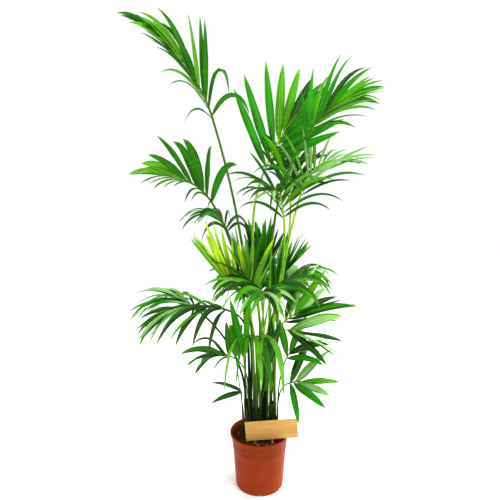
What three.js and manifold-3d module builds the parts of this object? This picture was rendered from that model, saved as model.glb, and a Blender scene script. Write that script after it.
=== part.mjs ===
import * as THREE from 'three';
import { mergeVertices } from 'three/addons/utils/BufferGeometryUtils.js';
import Module from 'manifold-3d';

// A kentia palm, 1.85 m tall, in its nursery pot: a clump of young stems, each with a few arching leaves.
// Millimetres and degrees, +Z up. The origin is the centre of the pot's flat underside.
// A leaf is a petiole, one tapering limb that rises out of its stem, and a frond, a rachis with leaflets
// on both sides.

const wasm = await Module();
wasm.setup();

const DEGREE = Math.PI / 180;
const GAP = 0.3;
const UP = new THREE.Vector3(0, 0, 1);

// The pot's radii from foot to rim, its wall and floor, and the heights at which its outline turns
const POT = {
  foot: 96, body: 107.5, collar: 111, rim: 120, wall: 3, floor: 9,
  bodyTop: 158, ring: 185, flareFoot: 197, lip: 216, height: 224, chamfer: 2,
};
const NOTCH = { count: 6, width: 16, height: 5, depth: 7 };
const SOIL = { top: 205, heap: 6, clear: 1 };
const LABEL = { x: 46, y: -62, z: 262, width: 207, height: 79, thickness: 4, turn: 4.5 };
const STICK = { x: 50, width: 7, thickness: 3, foot: 120, top: 282, sunk: 0.2 };

// Where each stem stands on the soil, how far its top leans, the height of its top, and the radii of its top
// and its flare.
const STEMS = {
  a: { x: -41, y: 18, lean: [-6, 4], top: 345, radius: 16.5, flare: 20 },
  b: { x: -7, y: -26, lean: [-2, -6], top: 330, radius: 16.5, flare: 19 },
  c: { x: 20, y: 24, lean: [2, 6], top: 385, radius: 15, flare: 18 },
  d: { x: 47, y: -8, lean: [6, 0], top: 350, radius: 15, flare: 18 },
  e: { x: -14, y: 62, lean: [0, 10], top: 290, radius: 10, flare: 13 },
  g: { x: 62, y: -36, lean: [6, -4], top: 280, radius: 10, flare: 13 },
};

// A kind of leaf: the leaflets' pairs, longest length and width, the angles they open at along the rachis,
// how far they lift off its sides, how they sag, and the radii of the petiole's foot and neck.
const KINDS = {
  tall: {
    pairs: 6, span: 290, width: 38, open: 48, close: 8, fade: 0.8, lift: 40, roll: 0, sag: 0.5, limp: 1,
    shorten: 0.3, power: 1.4, wild: 0.8, foot: 6.6, neckRadius: 4.2,
  },
  middle: {
    pairs: 5, span: 240, width: 32, open: 56, close: 18, fade: 0.8, lift: 35, roll: 0, sag: 0.9, limp: 1,
    shorten: 0.3, power: 1.4, wild: 1, foot: 5.6, neckRadius: 3.6,
  },
  low: {
    pairs: 3, span: 210, width: 28, open: 58, close: 12, fade: 0.8, lift: 25, roll: 0, sag: 0.9, limp: 1,
    shorten: 0.3, power: 1.4, wild: 1, foot: 4.8, neckRadius: 3.1,
  },
  sprig: {
    pairs: 3, span: 225, width: 32, open: 26, close: 6, fade: 0.8, lift: 35, roll: 0, sag: 0.2, limp: 0.5,
    shorten: 0.2, power: 1.4, wild: 1, foot: 4.8, neckRadius: 3.1,
  },
  fan: {
    pairs: 3, span: 205, width: 36, open: 78, close: 12, fade: 0.8, lift: 20, roll: 40, sag: 0.5, limp: 0.5,
    shorten: 0, power: 1.4, wild: 1.2, foot: 3.2, neckRadius: 2.4,
  },
};

// Every leaf: its stem, the neck where petiole turns into rachis, the way it heads, the tilt from upright
// at the neck (lean) and at the tip (bend), the rachis length (blade), and what differs from its kind
const LEAVES = [
  { kind: 'tall', stem: 'b', neck: [-175, -20, 1455], azimuth: 190, lean: 17, bend: 54, blade: 400,
    pairs: 7, open: 84, close: -4, fade: 0.25, span: 265, width: 40, sag: 0.6, roll: 50, limp: 4,
    power: 1, shorten: 0.4, luck: 56 },
  { kind: 'tall', stem: 'c', neck: [15, 50, 1270], azimuth: 30, lean: 26, bend: 44, blade: 280, open: 56,
    close: 0, fade: 0.9, span: 330, width: 54, roll: 64, lift: 12, sag: 0.12, shorten: 0.1, wild: 0.3 },
  { kind: 'tall', stem: 'd', neck: [157, -30, 1380], azimuth: -18, lean: 33, bend: 70, blade: 225,
    open: 52, close: 8, fade: 0.6, span: 250, width: 38, roll: 62, lift: 28, sag: 0.7 },
  { kind: 'middle', stem: 'd', neck: [150, -20, 1175], azimuth: 30, lean: 20, bend: 85, blade: 220,
    span: 260, width: 29, roll: 35, lift: 28, sag: 0.7 },
  { kind: 'middle', stem: 'c', neck: [88, -50, 1090], azimuth: 250, lean: 18, bend: 105, blade: 200,
    span: 240, sag: 1.2, wild: 1.3 },
  { kind: 'middle', stem: 'c', neck: [122, 60, 1150], azimuth: 110, lean: 4, bend: 50, blade: 220,
    span: 220, open: 36, width: 38, sag: 0.5 },
  { kind: 'tall', stem: 'a', neck: [-177, 0, 1140], azimuth: 172, lean: 30, bend: 84, blade: 225,
    pairs: 5, open: 60, close: 8, fade: 0.9, span: 225, width: 46, roll: 42, lift: 32, sag: 0.8, power: 1,
    wild: 0.5, limp: 5, shorten: 0.1 },
  { kind: 'low', stem: 'a', neck: [-127, 60, 1035], azimuth: 150, lean: 25, bend: 80, blade: 100,
    sag: 1.6 },
  { kind: 'low', stem: 'b', neck: [-77, -40, 805], azimuth: 188, lean: 32, bend: 38, blade: 120, pairs: 4,
    open: 40, close: 6, span: 280, width: 36, roll: 30, sag: 0.08 },
  { kind: 'middle', stem: 'a', neck: [-124, -40, 740], azimuth: 188, lean: 72, bend: 116, blade: 260,
    open: 60, close: 14, span: 250, width: 36, lift: 5, sag: 1.5, shorten: 0.2 },
  { kind: 'middle', stem: 'a', neck: [-248, 60, 710], azimuth: 172, lean: 52, bend: 96, blade: 120,
    pairs: 3, open: 40, span: 260, lift: 20, sag: 1.4, shorten: 0 },
  { kind: 'fan', stem: 'a', neck: [-113, -40, 555], azimuth: 190, lean: 62, bend: 88, blade: 50,
    width: 40, sag: 1.3 },
  { kind: 'fan', stem: 'g', neck: [106, 0, 530], azimuth: 5, lean: 25, bend: 70, blade: 50, open: 54,
    span: 190, width: 40, sag: 0.8 },
  { kind: 'fan', stem: 'g', neck: [112, -52, 450], azimuth: -20, lean: 64, bend: 88, blade: 50,
    width: 48, sag: 0.4 },
  { kind: 'middle', stem: 'b', neck: [12, -100, 795], azimuth: 268, lean: 45, bend: 100, blade: 150,
    open: 74, close: 26, span: 260, width: 34, sag: 1.4 },
  { kind: 'sprig', stem: 'c', neck: [4, 42, 825], azimuth: 95, lean: 5, bend: 35, blade: 140, width: 46 },
  { kind: 'sprig', stem: 'b', neck: [-40, -50, 770], azimuth: 240, lean: 3, bend: 35, blade: 140,
    span: 240, width: 36 },
  { kind: 'sprig', stem: 'd', neck: [62, 50, 775], azimuth: 20, lean: 12, bend: 50, blade: 140,
    span: 220, width: 38 },
  { kind: 'middle', stem: 'd', neck: [98, 20, 675], azimuth: 12, lean: 50, bend: 75, blade: 100, pairs: 3,
    open: 44, close: 10, span: 260, width: 54, roll: 50, sag: 0.4 },
  { kind: 'fan', stem: 'g', neck: [101, -50, 665], azimuth: -15, lean: 80, bend: 108, blade: 50,
    span: 230, width: 44, open: 36, sag: 0.6 },
  { kind: 'middle', stem: 'e', neck: [-8, 145, 715], azimuth: 115, lean: 30, bend: 95, blade: 240,
    span: 250, sag: 2 },
  { kind: 'middle', stem: 'e', neck: [79, 120, 742], azimuth: 45, lean: 30, bend: 90, blade: 200,
    span: 250, sag: 2 },
  { kind: 'fan', stem: 'b', neck: [-22, -74, 630], azimuth: 264, lean: 34, bend: 80, blade: 64, pairs: 2,
    open: 48, close: 20, span: 290, width: 32, lift: 12, roll: 0, sag: 8, wild: 0.4 },
];

// Seedling leaves rise straight from the soil and part into two broad leaflets, either side of the tilt
// called splay. Their upper sides face the azimuth called face, and cut is the fraction of their length at
// which they were trimmed.
const SEEDLINGS = [
  { x: -58, y: -40, azimuth: 180, tilt: 6, neck: 553, span: 200, width: 36, sag: 0.05, splay: 0, split: 6,
    face: 268, cut: 0.66 },
  { x: 26, y: -53, azimuth: 330, tilt: 2, neck: 524, span: 200, width: 42, sag: 0.05, splay: 8, split: 6,
    face: 262 },
  { x: -66, y: -22, azimuth: 184, tilt: 2, neck: 400, span: 130, width: 28, sag: 0.5, splay: 80, split: 20,
    face: 275 },
  { x: -24, y: -52, azimuth: 190, tilt: 1, neck: 560, span: 240, width: 42, sag: 0.1, splay: 4, split: 8,
    face: 250 },
  { x: 20, y: 70, azimuth: 60, tilt: 8, neck: 470, span: 180, width: 34, sag: 0.3, splay: 10, split: 14,
    face: 80 },
];
const SEEDLING = {
  foot: 3, tip: 2, steps: 4, sides: 5, twist: 20, shift: 5, straighten: 2, tries: 8,
};

// How finely each shape is drawn, and how the growing rule bends it
const TURNED = 36;
const STEM = { rings: 6, sides: 8, ring: 1.15, straight: 20, taper: 4 };
const PETIOLE = { points: 40, steps: 8, sides: 5, rise: 0.4, settle: 0.3, taper: 0.7 };
const RACHIS = { steps: 40, rings: 5, sides: 3, neck: 0.92, tip: 1.2 };
const LEAFLET = { steps: 12, stations: [0, 4, 9], fold: 0.2, thick: 0.011, curl: 1.6, root: 0.06 };
const CLEAR = { limb: 0.8, blade: 0.35, near: 1, sway: 12, swayRounds: 5, lift: [0, 12, -12, 26, -26] };

// Colours and finishes
const terracotta = new THREE.MeshStandardMaterial({ color: 0xb8441c, roughness: 0.45, metalness: 0 });
const earth = new THREE.MeshStandardMaterial({ color: 0x2a1d14, roughness: 1, metalness: 0 });
const pine = new THREE.MeshStandardMaterial({ color: 0xdcb57c, roughness: 0.7, metalness: 0 });
const sheath = new THREE.MeshStandardMaterial({ color: 0x3b3a1c, roughness: 0.8, metalness: 0 });
const stalk = new THREE.MeshStandardMaterial({ color: 0x8fb31e, roughness: 0.5, metalness: 0 });
const green = new THREE.MeshStandardMaterial({ color: 0x2e7d1e, roughness: 0.45, metalness: 0 });

const palm = new THREE.Group();

// Solids

function solid(geometry) {
  const bare = geometry.clone();
  bare.deleteAttribute('normal');
  bare.deleteAttribute('uv');
  const merged = mergeVertices(bare, 1e-4);
  const triangles = [];
  for (let i = 0; i < merged.index.count; i += 3) {
    const [a, b, c] = [0, 1, 2].map((corner) => merged.index.getX(i + corner));
    if (a !== b && b !== c && c !== a) triangles.push(a, b, c);
  }
  const vertProperties = new Float32Array(merged.attributes.position.array);
  const triVerts = new Uint32Array(triangles);
  return new wasm.Manifold(new wasm.Mesh({ numProp: 3, vertProperties, triVerts }));
}

function add(name, body, material) {
  const { vertProperties, triVerts } = body.getMesh();
  const geometry = new THREE.BufferGeometry();
  geometry.setAttribute('position', new THREE.BufferAttribute(new Float32Array(vertProperties), 3));
  geometry.setIndex(new THREE.BufferAttribute(new Uint32Array(triVerts), 1));
  geometry.computeVertexNormals();
  const mesh = new THREE.Mesh(geometry, material);
  mesh.name = name;
  palm.add(mesh);
}

// Rings of corners, each facing back along the way the shape grows, are skinned and closed at both ends.
function skin(rings) {
  const positions = rings.flat().flatMap((p) => [p.x, p.y, p.z]);
  const index = [];
  const starts = [];
  let start = 0;
  for (const ring of rings) {
    starts.push(start);
    start += ring.length;
  }
  for (let i = 0; i + 1 < rings.length; i += 1) {
    const count = rings[i].length;
    for (let j = 0; j < count; j += 1) {
      const next = (j + 1) % count;
      if (rings[i + 1].length === 1) {
        index.push(starts[i] + j, starts[i] + next, starts[i + 1]);
      } else {
        index.push(starts[i] + j, starts[i] + next, starts[i + 1] + next);
        index.push(starts[i] + j, starts[i + 1] + next, starts[i + 1] + j);
      }
    }
  }
  for (let j = 1; j + 1 < rings[0].length; j += 1) index.push(starts[0], starts[0] + j + 1, starts[0] + j);
  const last = rings.length - 1;
  for (let j = 1; j + 1 < rings[last].length; j += 1) {
    index.push(starts[last], starts[last] + j, starts[last] + j + 1);
  }
  const geometry = new THREE.BufferGeometry();
  geometry.setAttribute('position', new THREE.Float32BufferAttribute(positions, 3));
  geometry.setIndex(index);
  return solid(geometry);
}

// Fused pieces may seal a hollow, which is filled here, or leave a loose scrap, which is dropped.
function fuse(pieces) {
  const shells = wasm.Manifold.union(pieces).decompose();
  return shells.reduce((largest, shell) => (shell.volume() > largest.volume() ? shell : largest));
}

// A round limb along a curve, with its radius given at each fraction of the length.
function limb(curve, steps, sides, radiusAt) {
  const frames = curve.computeFrenetFrames(steps, false);
  const rings = [];
  for (let i = 0; i <= steps; i += 1) {
    const centre = curve.getPointAt(i / steps);
    const ring = [];
    for (let j = 0; j < sides; j += 1) {
      const turn = (j / sides) * Math.PI * 2;
      ring.push(centre.clone()
        .addScaledVector(frames.normals[i], Math.cos(turn) * radiusAt(i / steps))
        .addScaledVector(frames.binormals[i], Math.sin(turn) * radiusAt(i / steps)));
    }
    rings.push(ring);
  }
  return skin(rings);
}

// The growing rule

function chance(seed) {
  const value = Math.sin(seed * 12.9898 + 4.1414) * 43758.5453;
  return value - Math.floor(value);
}

function heading(azimuth, tilt) {
  const [a, t] = [azimuth * DEGREE, tilt * DEGREE];
  return new THREE.Vector3(Math.sin(t) * Math.cos(a), Math.sin(t) * Math.sin(a), Math.cos(t));
}

function stemTop(stem) {
  return new THREE.Vector3(stem.x + stem.lean[0], stem.y + stem.lean[1], stem.top);
}

// The petioles of one stem stand in a ring on its top, in the order of the ways that they head.
function placeFeet(leaves) {
  for (const [name, stem] of Object.entries(STEMS)) {
    const top = stemTop(stem);
    const own = leaves.filter((leaf) => leaf.stem === name);
    for (const leaf of own) {
      const toward = Math.atan2(leaf.neck.y - top.y, leaf.neck.x - top.x) / DEGREE;
      leaf.toward = (toward + 360) % 360;
    }
    own.sort((one, other) => one.toward - other.toward);
    const widest = Math.max(...own.map((leaf) => leaf.foot));
    const ring = own.length > 1 ? (widest / Math.sin(Math.PI / own.length)) * STEM.ring : 0;
    own.forEach((leaf, i) => {
      const turn = (own[0].toward + (i * 360) / own.length) * DEGREE;
      leaf.start = top.clone().add(new THREE.Vector3(ring * Math.cos(turn), ring * Math.sin(turn), GAP));
    });
  }
}

function rachisPath(leaf) {
  const points = [leaf.neck.clone()];
  const tangents = [heading(leaf.azimuth, leaf.lean)];
  for (let i = 1; i <= RACHIS.steps; i += 1) {
    const tilt = leaf.lean + (leaf.bend - leaf.lean) * (i / RACHIS.steps) ** leaf.power;
    tangents.push(heading(leaf.azimuth, tilt));
    const middle = tangents[i - 1].clone().add(tangents[i]).normalize();
    points.push(points[i - 1].clone().addScaledVector(middle, leaf.blade / RACHIS.steps));
  }
  return { points, tangents };
}

// A petiole leaves its stem upright and reaches the neck at the frond's lean. In between it may sway aside.
function petiolePath(leaf, [across, outward]) {
  const reach = leaf.neck.distanceTo(leaf.start);
  const lean = heading(leaf.azimuth, leaf.lean);
  const rise = leaf.start.clone().addScaledVector(UP, reach * PETIOLE.rise);
  const settle = leaf.neck.clone().addScaledVector(lean, -reach * PETIOLE.settle);
  const end = leaf.neck.clone().addScaledVector(lean, -GAP);
  const points = new THREE.CubicBezierCurve3(leaf.start, rise, settle, end).getPoints(PETIOLE.points);
  points.forEach((point, i) => {
    const t = i / PETIOLE.points;
    const bulge = CLEAR.sway * (4 * t * (1 - t)) ** 2;
    point.addScaledVector(heading(leaf.toward + 90, 90), across * bulge);
    point.addScaledVector(heading(leaf.toward, 90), outward * bulge);
  });
  return new THREE.CatmullRomCurve3(points);
}

// The least distance between two limbs, from the points of one to the straight pieces of the other.
function spaceBetween(one, other) {
  let least = Infinity;
  const line = new THREE.Line3();
  const nearest = new THREE.Vector3();
  for (let i = 0; i + 1 < other.points.length; i += 1) {
    line.set(other.points[i], other.points[i + 1]);
    for (let j = 0; j < one.points.length; j += 1) {
      line.closestPointToPoint(one.points[j], true, nearest);
      least = Math.min(least, nearest.distanceTo(one.points[j]) - one.radii[j] - other.radii[i]);
    }
  }
  return least;
}

function petioleRadius(leaf, t) {
  return leaf.foot + (leaf.neckRadius - leaf.foot) * t ** PETIOLE.taper;
}

function rachisRadius(leaf, t) {
  const neck = leaf.neckRadius * RACHIS.neck;
  return neck + (RACHIS.tip - neck) * t;
}

// The ways that a petiole may sway, across and outward, the smallest first
const sways = [];
for (let across = -CLEAR.swayRounds; across <= CLEAR.swayRounds; across += 1) {
  for (let outward = -CLEAR.swayRounds; outward <= CLEAR.swayRounds; outward += 1) {
    sways.push([across, outward]);
  }
}
sways.sort((one, other) => Math.hypot(...one) - Math.hypot(...other));

// A petiole takes the first sway that keeps it clear of the limbs that stand already.
function growPetiole(leaf, limbs) {
  for (const sway of sways) {
    const curve = petiolePath(leaf, sway);
    const points = curve.getSpacedPoints(PETIOLE.points);
    const radii = points.map((point, i) => petioleRadius(leaf, i / PETIOLE.points));
    const path = { leaf, points, radii };
    if (limbs.every((other) => other.leaf === leaf || spaceBetween(path, other) > CLEAR.limb)) {
      limbs.push(path);
      return curve;
    }
  }
  throw new Error(`no clear way for the petiole of leaf ${leaf.number}`);
}

function leafletFrame(leaf, rachis, along, hand, seed) {
  const at = along * RACHIS.steps;
  const i = Math.min(Math.floor(at), RACHIS.steps - 1);
  const base = rachis.points[i].clone().lerp(rachis.points[i + 1], at - i);
  const tangent = rachis.tangents[i].clone().lerp(rachis.tangents[i + 1], at - i).normalize();
  const level = heading(leaf.azimuth + 90, 90);
  const upper = tangent.clone().cross(level);
  const roll = leaf.roll * DEGREE;
  const side = level.clone().multiplyScalar(Math.cos(roll)).addScaledVector(upper, Math.sin(roll));
  const face = upper.multiplyScalar(Math.cos(roll)).addScaledVector(level, -Math.sin(roll));
  return { base, tangent, side, face, along, hand, seed };
}

function leafletShape(leaf, frame, extraLift) {
  const { along, hand, seed } = frame;
  const vary = (n) => chance(seed + 0.37 * n) - 0.5;
  const spread = leaf.open + (leaf.close - leaf.open) * along ** leaf.fade;
  const open = (spread + leaf.wild * 16 * vary(2)) * DEGREE;
  const lift = (leaf.lift * (1 - 0.5 * along) + leaf.wild * 30 * vary(3) + extraLift) * DEGREE;
  const outward = frame.side.clone().multiplyScalar(hand * Math.cos(lift));
  outward.addScaledVector(frame.face, Math.sin(lift));
  const start = frame.tangent.clone().multiplyScalar(Math.cos(open));
  start.addScaledVector(outward, Math.sin(open));
  const swell = 0.74 + 0.26 * Math.sin(Math.PI * Math.min(along * 1.2 + 0.1, 1));
  const length = leaf.span * swell * (1 - leaf.shorten * along ** 2.5) * (1 + 0.2 * vary(4));
  const width = leaf.width * (0.66 + 0.34 * Math.sin(Math.PI * along ** 0.8)) * (1 + 0.24 * vary(5));
  const limp = 1 + leaf.limp * (1 - along) ** 6 * chance(seed + 9.1);
  const sag = leaf.sag * (1 + leaf.wild * 1.1 * vary(6)) * limp;
  const normal = frame.side.clone().multiplyScalar(-hand * Math.sin(lift));
  normal.addScaledVector(frame.face, Math.cos(lift));
  return { start, normal, length, width, sag, twist: [leaf.wild * 70 * vary(7), leaf.wild * 70 * vary(8)] };
}

function halfWidth(u) {
  return Math.min(Math.sqrt(u + 0.015) * (1 - u) ** 0.85, 0.5);
}

// A leaflet is a blade of three-cornered section: its two edges, and the raised fold along its midrib.
function blade(base, shape) {
  const { start, normal, length, width, sag, twist, cut = 1 } = shape;
  const droop = (u) => start.clone().addScaledVector(UP, -sag * u ** LEAFLET.curl).normalize();
  const rings = [];
  const centre = base.clone();
  for (let i = 0; i <= LEAFLET.steps; i += 1) {
    const u = i / LEAFLET.steps;
    const along = droop(u);
    if (i > 0) {
      const middle = along.clone().add(droop(u - 1 / LEAFLET.steps)).normalize();
      centre.addScaledVector(middle, length / LEAFLET.steps);
    }
    if (i === LEAFLET.steps && cut === 1) {
      rings.push([centre.clone()]);
    } else if (i === LEAFLET.steps || LEAFLET.stations.includes(i)) {
      const flat = along.clone().cross(normal).normalize();
      const above = flat.clone().cross(along);
      const turn = (twist[0] + twist[1] * u) * DEGREE;
      const side = flat.multiplyScalar(Math.cos(turn)).addScaledVector(above, -Math.sin(turn));
      const top = side.clone().cross(along);
      const half = width * Math.max(halfWidth(u * cut), i === 0 ? LEAFLET.root : 0);
      const fold = Math.max(2 * half * LEAFLET.fold, length * LEAFLET.thick);
      rings.push([
        centre.clone().addScaledVector(side, -half),
        centre.clone().addScaledVector(top, fold),
        centre.clone().addScaledVector(side, half),
      ]);
    }
  }
  return skin(rings);
}

function boxesMeet(one, other, margin) {
  const [a, b] = [one.boundingBox(), other.boundingBox()];
  return [0, 1, 2].every((k) => a.min[k] - margin < b.max[k] && b.min[k] - margin < a.max[k]);
}

function isClear(body, others) {
  const near = others.filter((other) => boxesMeet(body, other, CLEAR.near));
  return near.every((other) => body.minGap(other, CLEAR.near) > CLEAR.blade);
}

// Leaflets stand out of the rachis in pairs. One that would touch another piece tries other lifts, or is
// left out.
function growFrond(leaf, rachisBody, others) {
  const pieces = [rachisBody];
  for (let k = 0; k < leaf.pairs; k += 1) {
    for (const hand of [-1, 1]) {
      const seed = (leaf.number + leaf.luck) * 100 + k * 2 + (hand > 0 ? 1 : 0);
      const along = (k + (hand > 0 ? 0.65 : 0.25)) / leaf.pairs;
      const frame = leafletFrame(leaf, leaf.rachis, along, hand, seed);
      for (const extraLift of CLEAR.lift) {
        const leaflet = blade(frame.base, leafletShape(leaf, frame, extraLift));
        if (isClear(leaflet, others)) {
          pieces.push(leaflet);
          break;
        }
      }
    }
  }
  return fuse(pieces);
}

// Pot

function footInside() {
  return POT.foot - POT.wall + 0.7;
}

function potBody() {
  const { foot, body, collar, rim, wall, floor, bodyTop, ring, flareFoot, lip, height, chamfer } = POT;
  const outline = [
    [0, 0], [foot - chamfer, 0], [foot, chamfer],
    [body, bodyTop], [body + 1.6, bodyTop + 3], [collar - 0.4, ring - 1], [collar + 0.4, ring + 1],
    [collar, ring + 4], [collar + 1.5, flareFoot], [rim - 3, lip - 6], [rim, lip], [rim, height - 3],
    [rim - 2.5, height], [rim - 5, height - 1], [collar - wall / 2, flareFoot],
    [body - wall, bodyTop], [footInside(), floor], [0, floor],
  ];
  const lathe = new THREE.LatheGeometry(outline.map(([r, z]) => new THREE.Vector2(r, z)), TURNED);
  lathe.rotateX(Math.PI / 2);
  let pot = solid(lathe);
  for (let i = 0; i < NOTCH.count; i += 1) {
    const turn = ((i + 0.5) / NOTCH.count) * Math.PI * 2;
    const notch = new THREE.BoxGeometry(NOTCH.depth * 2, NOTCH.width, NOTCH.height * 2);
    notch.rotateZ(turn);
    notch.translate(foot * Math.cos(turn), foot * Math.sin(turn), 0);
    pot = pot.subtract(solid(notch));
  }
  return pot;
}

function soilBody() {
  const { body, wall, floor, bodyTop, ring } = POT;
  const wide = body - wall;
  const bottom = floor + GAP;
  const outline = [
    [0, bottom], [footInside() - SOIL.clear, bottom], [wide - SOIL.clear, bodyTop],
    [wide + SOIL.clear, ring], [wide + SOIL.clear, SOIL.top - SOIL.heap],
    [wide - SOIL.heap, SOIL.top], [0, SOIL.top],
  ];
  const lathe = new THREE.LatheGeometry(outline.map(([r, z]) => new THREE.Vector2(r, z)), TURNED);
  lathe.rotateX(Math.PI / 2);
  const depth = SOIL.top - STICK.foot + GAP;
  const slot = new THREE.BoxGeometry(STICK.width + 2 * GAP, STICK.thickness + 2 * GAP, 2 * depth);
  slot.translate(STICK.x, LABEL.y + (LABEL.thickness + STICK.thickness) / 2, SOIL.top);
  return solid(lathe).subtract(solid(slot));
}

// The label is a blank board on a thin stick that is pushed into the soil.
function labelBody() {
  const board = new THREE.BoxGeometry(LABEL.width, LABEL.thickness, LABEL.height);
  board.rotateY(-LABEL.turn * DEGREE);
  board.translate(LABEL.x, LABEL.y, LABEL.z);
  const stick = new THREE.BoxGeometry(STICK.width, STICK.thickness + STICK.sunk, STICK.top - STICK.foot);
  stick.translate(STICK.x, LABEL.y + (LABEL.thickness + STICK.thickness) / 2, (STICK.top + STICK.foot) / 2);
  return solid(board).add(solid(stick));
}

function stemBody(stem) {
  const top = stemTop(stem);
  const foot = new THREE.Vector3(stem.x, stem.y, SOIL.top + GAP);
  const bow = new THREE.Vector3(top.x, top.y, (foot.z + top.z) / 2);
  const straight = new THREE.Vector3(foot.x, foot.y, foot.z + STEM.straight);
  const curve = new THREE.CubicBezierCurve3(foot, straight, bow, top);
  const flare = (t) => stem.radius + (stem.flare - stem.radius) * (1 - t) ** STEM.taper;
  return limb(curve, STEM.rings, STEM.sides, flare);
}

function seedlingBody(seedling, shift) {
  const out = heading(seedling.azimuth, 90).multiplyScalar(shift * SEEDLING.shift);
  const tilt = seedling.tilt + shift * SEEDLING.straighten;
  const foot = new THREE.Vector3(seedling.x, seedling.y, SOIL.top + GAP).add(out);
  const direction = heading(seedling.azimuth, tilt);
  const rise = seedling.neck - SOIL.top;
  const neck = foot.clone().addScaledVector(direction, rise);
  const low = foot.clone().addScaledVector(UP, rise / 3);
  const high = neck.clone().addScaledVector(direction, -rise / 3);
  const curve = new THREE.CubicBezierCurve3(foot, low, high, neck);
  const radiusAt = (t) => SEEDLING.foot + (SEEDLING.tip - SEEDLING.foot) * t;
  const pieces = [limb(curve, SEEDLING.steps, SEEDLING.sides, radiusAt)];
  for (const hand of [-1, 1]) {
    const { span, width, sag, splay, split, cut = 1 } = seedling;
    const start = heading(seedling.azimuth, splay + hand * split);
    const normal = heading(seedling.face, 90);
    const twist = [SEEDLING.twist * hand, 0];
    pieces.push(blade(neck, { start, normal, length: span * cut, width, sag, twist, cut }));
  }
  return fuse(pieces);
}

// A seedling leaf shifts outward until it stands clear of the rest.
function growSeedling(seedling, others) {
  for (let shift = 0; shift < SEEDLING.tries; shift += 1) {
    const body = seedlingBody(seedling, shift);
    if (isClear(body, others)) return body;
  }
  throw new Error(`no clear place for the seedling at ${seedling.x}, ${seedling.y}`);
}

// Assembly

const pot = potBody();
const soil = soilBody();
const label = labelBody();
add('pot', pot, terracotta);
add('soil', soil, earth);
add('label', label, pine);

const stems = Object.values(STEMS).map(stemBody);
stems.forEach((body, i) => add(`stem_${i + 1}`, body, sheath));

const leaves = LEAVES.map((leaf, i) => {
  const grown = { luck: 0, ...KINDS[leaf.kind], ...leaf, number: i + 1 };
  grown.neck = new THREE.Vector3(...leaf.neck);
  grown.rachis = rachisPath(grown);
  return grown;
});
placeFeet(leaves);
const limbs = leaves.map((leaf) => ({
  leaf,
  points: leaf.rachis.points,
  radii: leaf.rachis.points.map((point, i) => rachisRadius(leaf, i / RACHIS.steps)),
}));
const petioles = leaves.map((leaf) => {
  const curve = growPetiole(leaf, limbs);
  return limb(curve, PETIOLE.steps, PETIOLE.sides, (t) => petioleRadius(leaf, t));
});
const rachises = leaves.map((leaf) => {
  const curve = new THREE.CatmullRomCurve3(leaf.rachis.points);
  return limb(curve, RACHIS.rings, RACHIS.sides, (t) => rachisRadius(leaf, t));
});
const number = (i) => String(i + 1).padStart(2, '0');
petioles.forEach((body, i) => add(`petiole_${number(i)}`, body, stalk));

const seedlings = [];
for (const seedling of SEEDLINGS) {
  seedlings.push(growSeedling(seedling, [pot, label, ...stems, ...petioles, ...rachises, ...seedlings]));
}
seedlings.forEach((body, i) => add(`seedling_${i + 1}`, body, green));

const standing = [pot, label, ...stems, ...petioles, ...seedlings];
const fronds = [];
leaves.forEach((leaf, i) => {
  const others = [...standing, ...fronds, ...rachises.filter((body, j) => j > i)];
  fronds.push(growFrond(leaf, rachises[i], others));
});
fronds.forEach((body, i) => add(`frond_${number(i)}`, body, green));

export default palm;
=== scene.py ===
"""A kentia palm in its nursery pot: a clump of young stems, each with a few arching leaves.

Metres and degrees, +Z up, with the origin at the centre of the pot's flat underside. Every leaf grows by one
seeded rule: a petiole rises out of its stem and turns into a rachis at the neck, and the rachis carries
leaflets on both sides. The same rule, with fewer and plainer leaflets, gives the solids that this script
replaces.
"""

import functools

import bpy
import numpy as np
from bpy.props import FloatProperty, FloatVectorProperty, IntProperty, PointerProperty
from bpy.types import Operator, Panel, PropertyGroup
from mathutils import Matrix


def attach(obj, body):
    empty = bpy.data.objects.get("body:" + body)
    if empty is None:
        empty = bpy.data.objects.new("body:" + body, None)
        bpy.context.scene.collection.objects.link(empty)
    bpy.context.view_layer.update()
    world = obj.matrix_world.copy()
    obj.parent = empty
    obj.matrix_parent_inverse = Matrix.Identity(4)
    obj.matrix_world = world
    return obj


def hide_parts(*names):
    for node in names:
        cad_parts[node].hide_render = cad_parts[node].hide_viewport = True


bl_info = {
    "name": "Potted Kentia Palm",
    "version": (1, 0, 0),
    "blender": (4, 5, 0),
    "location": "View3D > Sidebar > Palm",
    "description": "Builds a potted kentia palm from its growing rule, piece by piece",
    "category": "Add Mesh",
}

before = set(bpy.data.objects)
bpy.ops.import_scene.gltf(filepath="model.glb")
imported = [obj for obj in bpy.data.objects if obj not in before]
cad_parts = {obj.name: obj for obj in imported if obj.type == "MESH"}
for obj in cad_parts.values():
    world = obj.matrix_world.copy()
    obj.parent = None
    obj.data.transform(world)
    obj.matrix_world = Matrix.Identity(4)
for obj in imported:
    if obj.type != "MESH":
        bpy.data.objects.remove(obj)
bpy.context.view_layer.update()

UP = np.array([0.0, 0.0, 1.0])

# The clearance that neighbouring solids keep, and the middle of the plant, which the lamps face
GAP = 0.0003
MIDDLE = np.array([0.0, 0.0, 0.9])

# The pot's radii from foot to rim, its wall, and the heights at which its outline turns
POT = dict(
    foot=0.096, body=0.1075, collar=0.111, rim=0.120, wall=0.003, floor=0.009,
    body_top=0.158, ring=0.185, flare_foot=0.197, lip=0.216, height=0.224,
)

# The drain notches round its foot, the level of the soil, and the label's board and stick
NOTCH = dict(count=6, width=0.016, height=0.005, depth=0.007, rows=10)
SOIL_TOP = 0.205
LABEL = dict(x=0.046, y=-0.062, z=0.262, width=0.207, height=0.079, thickness=0.004, turn=4.5)
STICK = dict(x=0.050, width=0.007, thickness=0.003, foot=0.120, top=0.282, corner=0.001, edge=0.0005)

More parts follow.
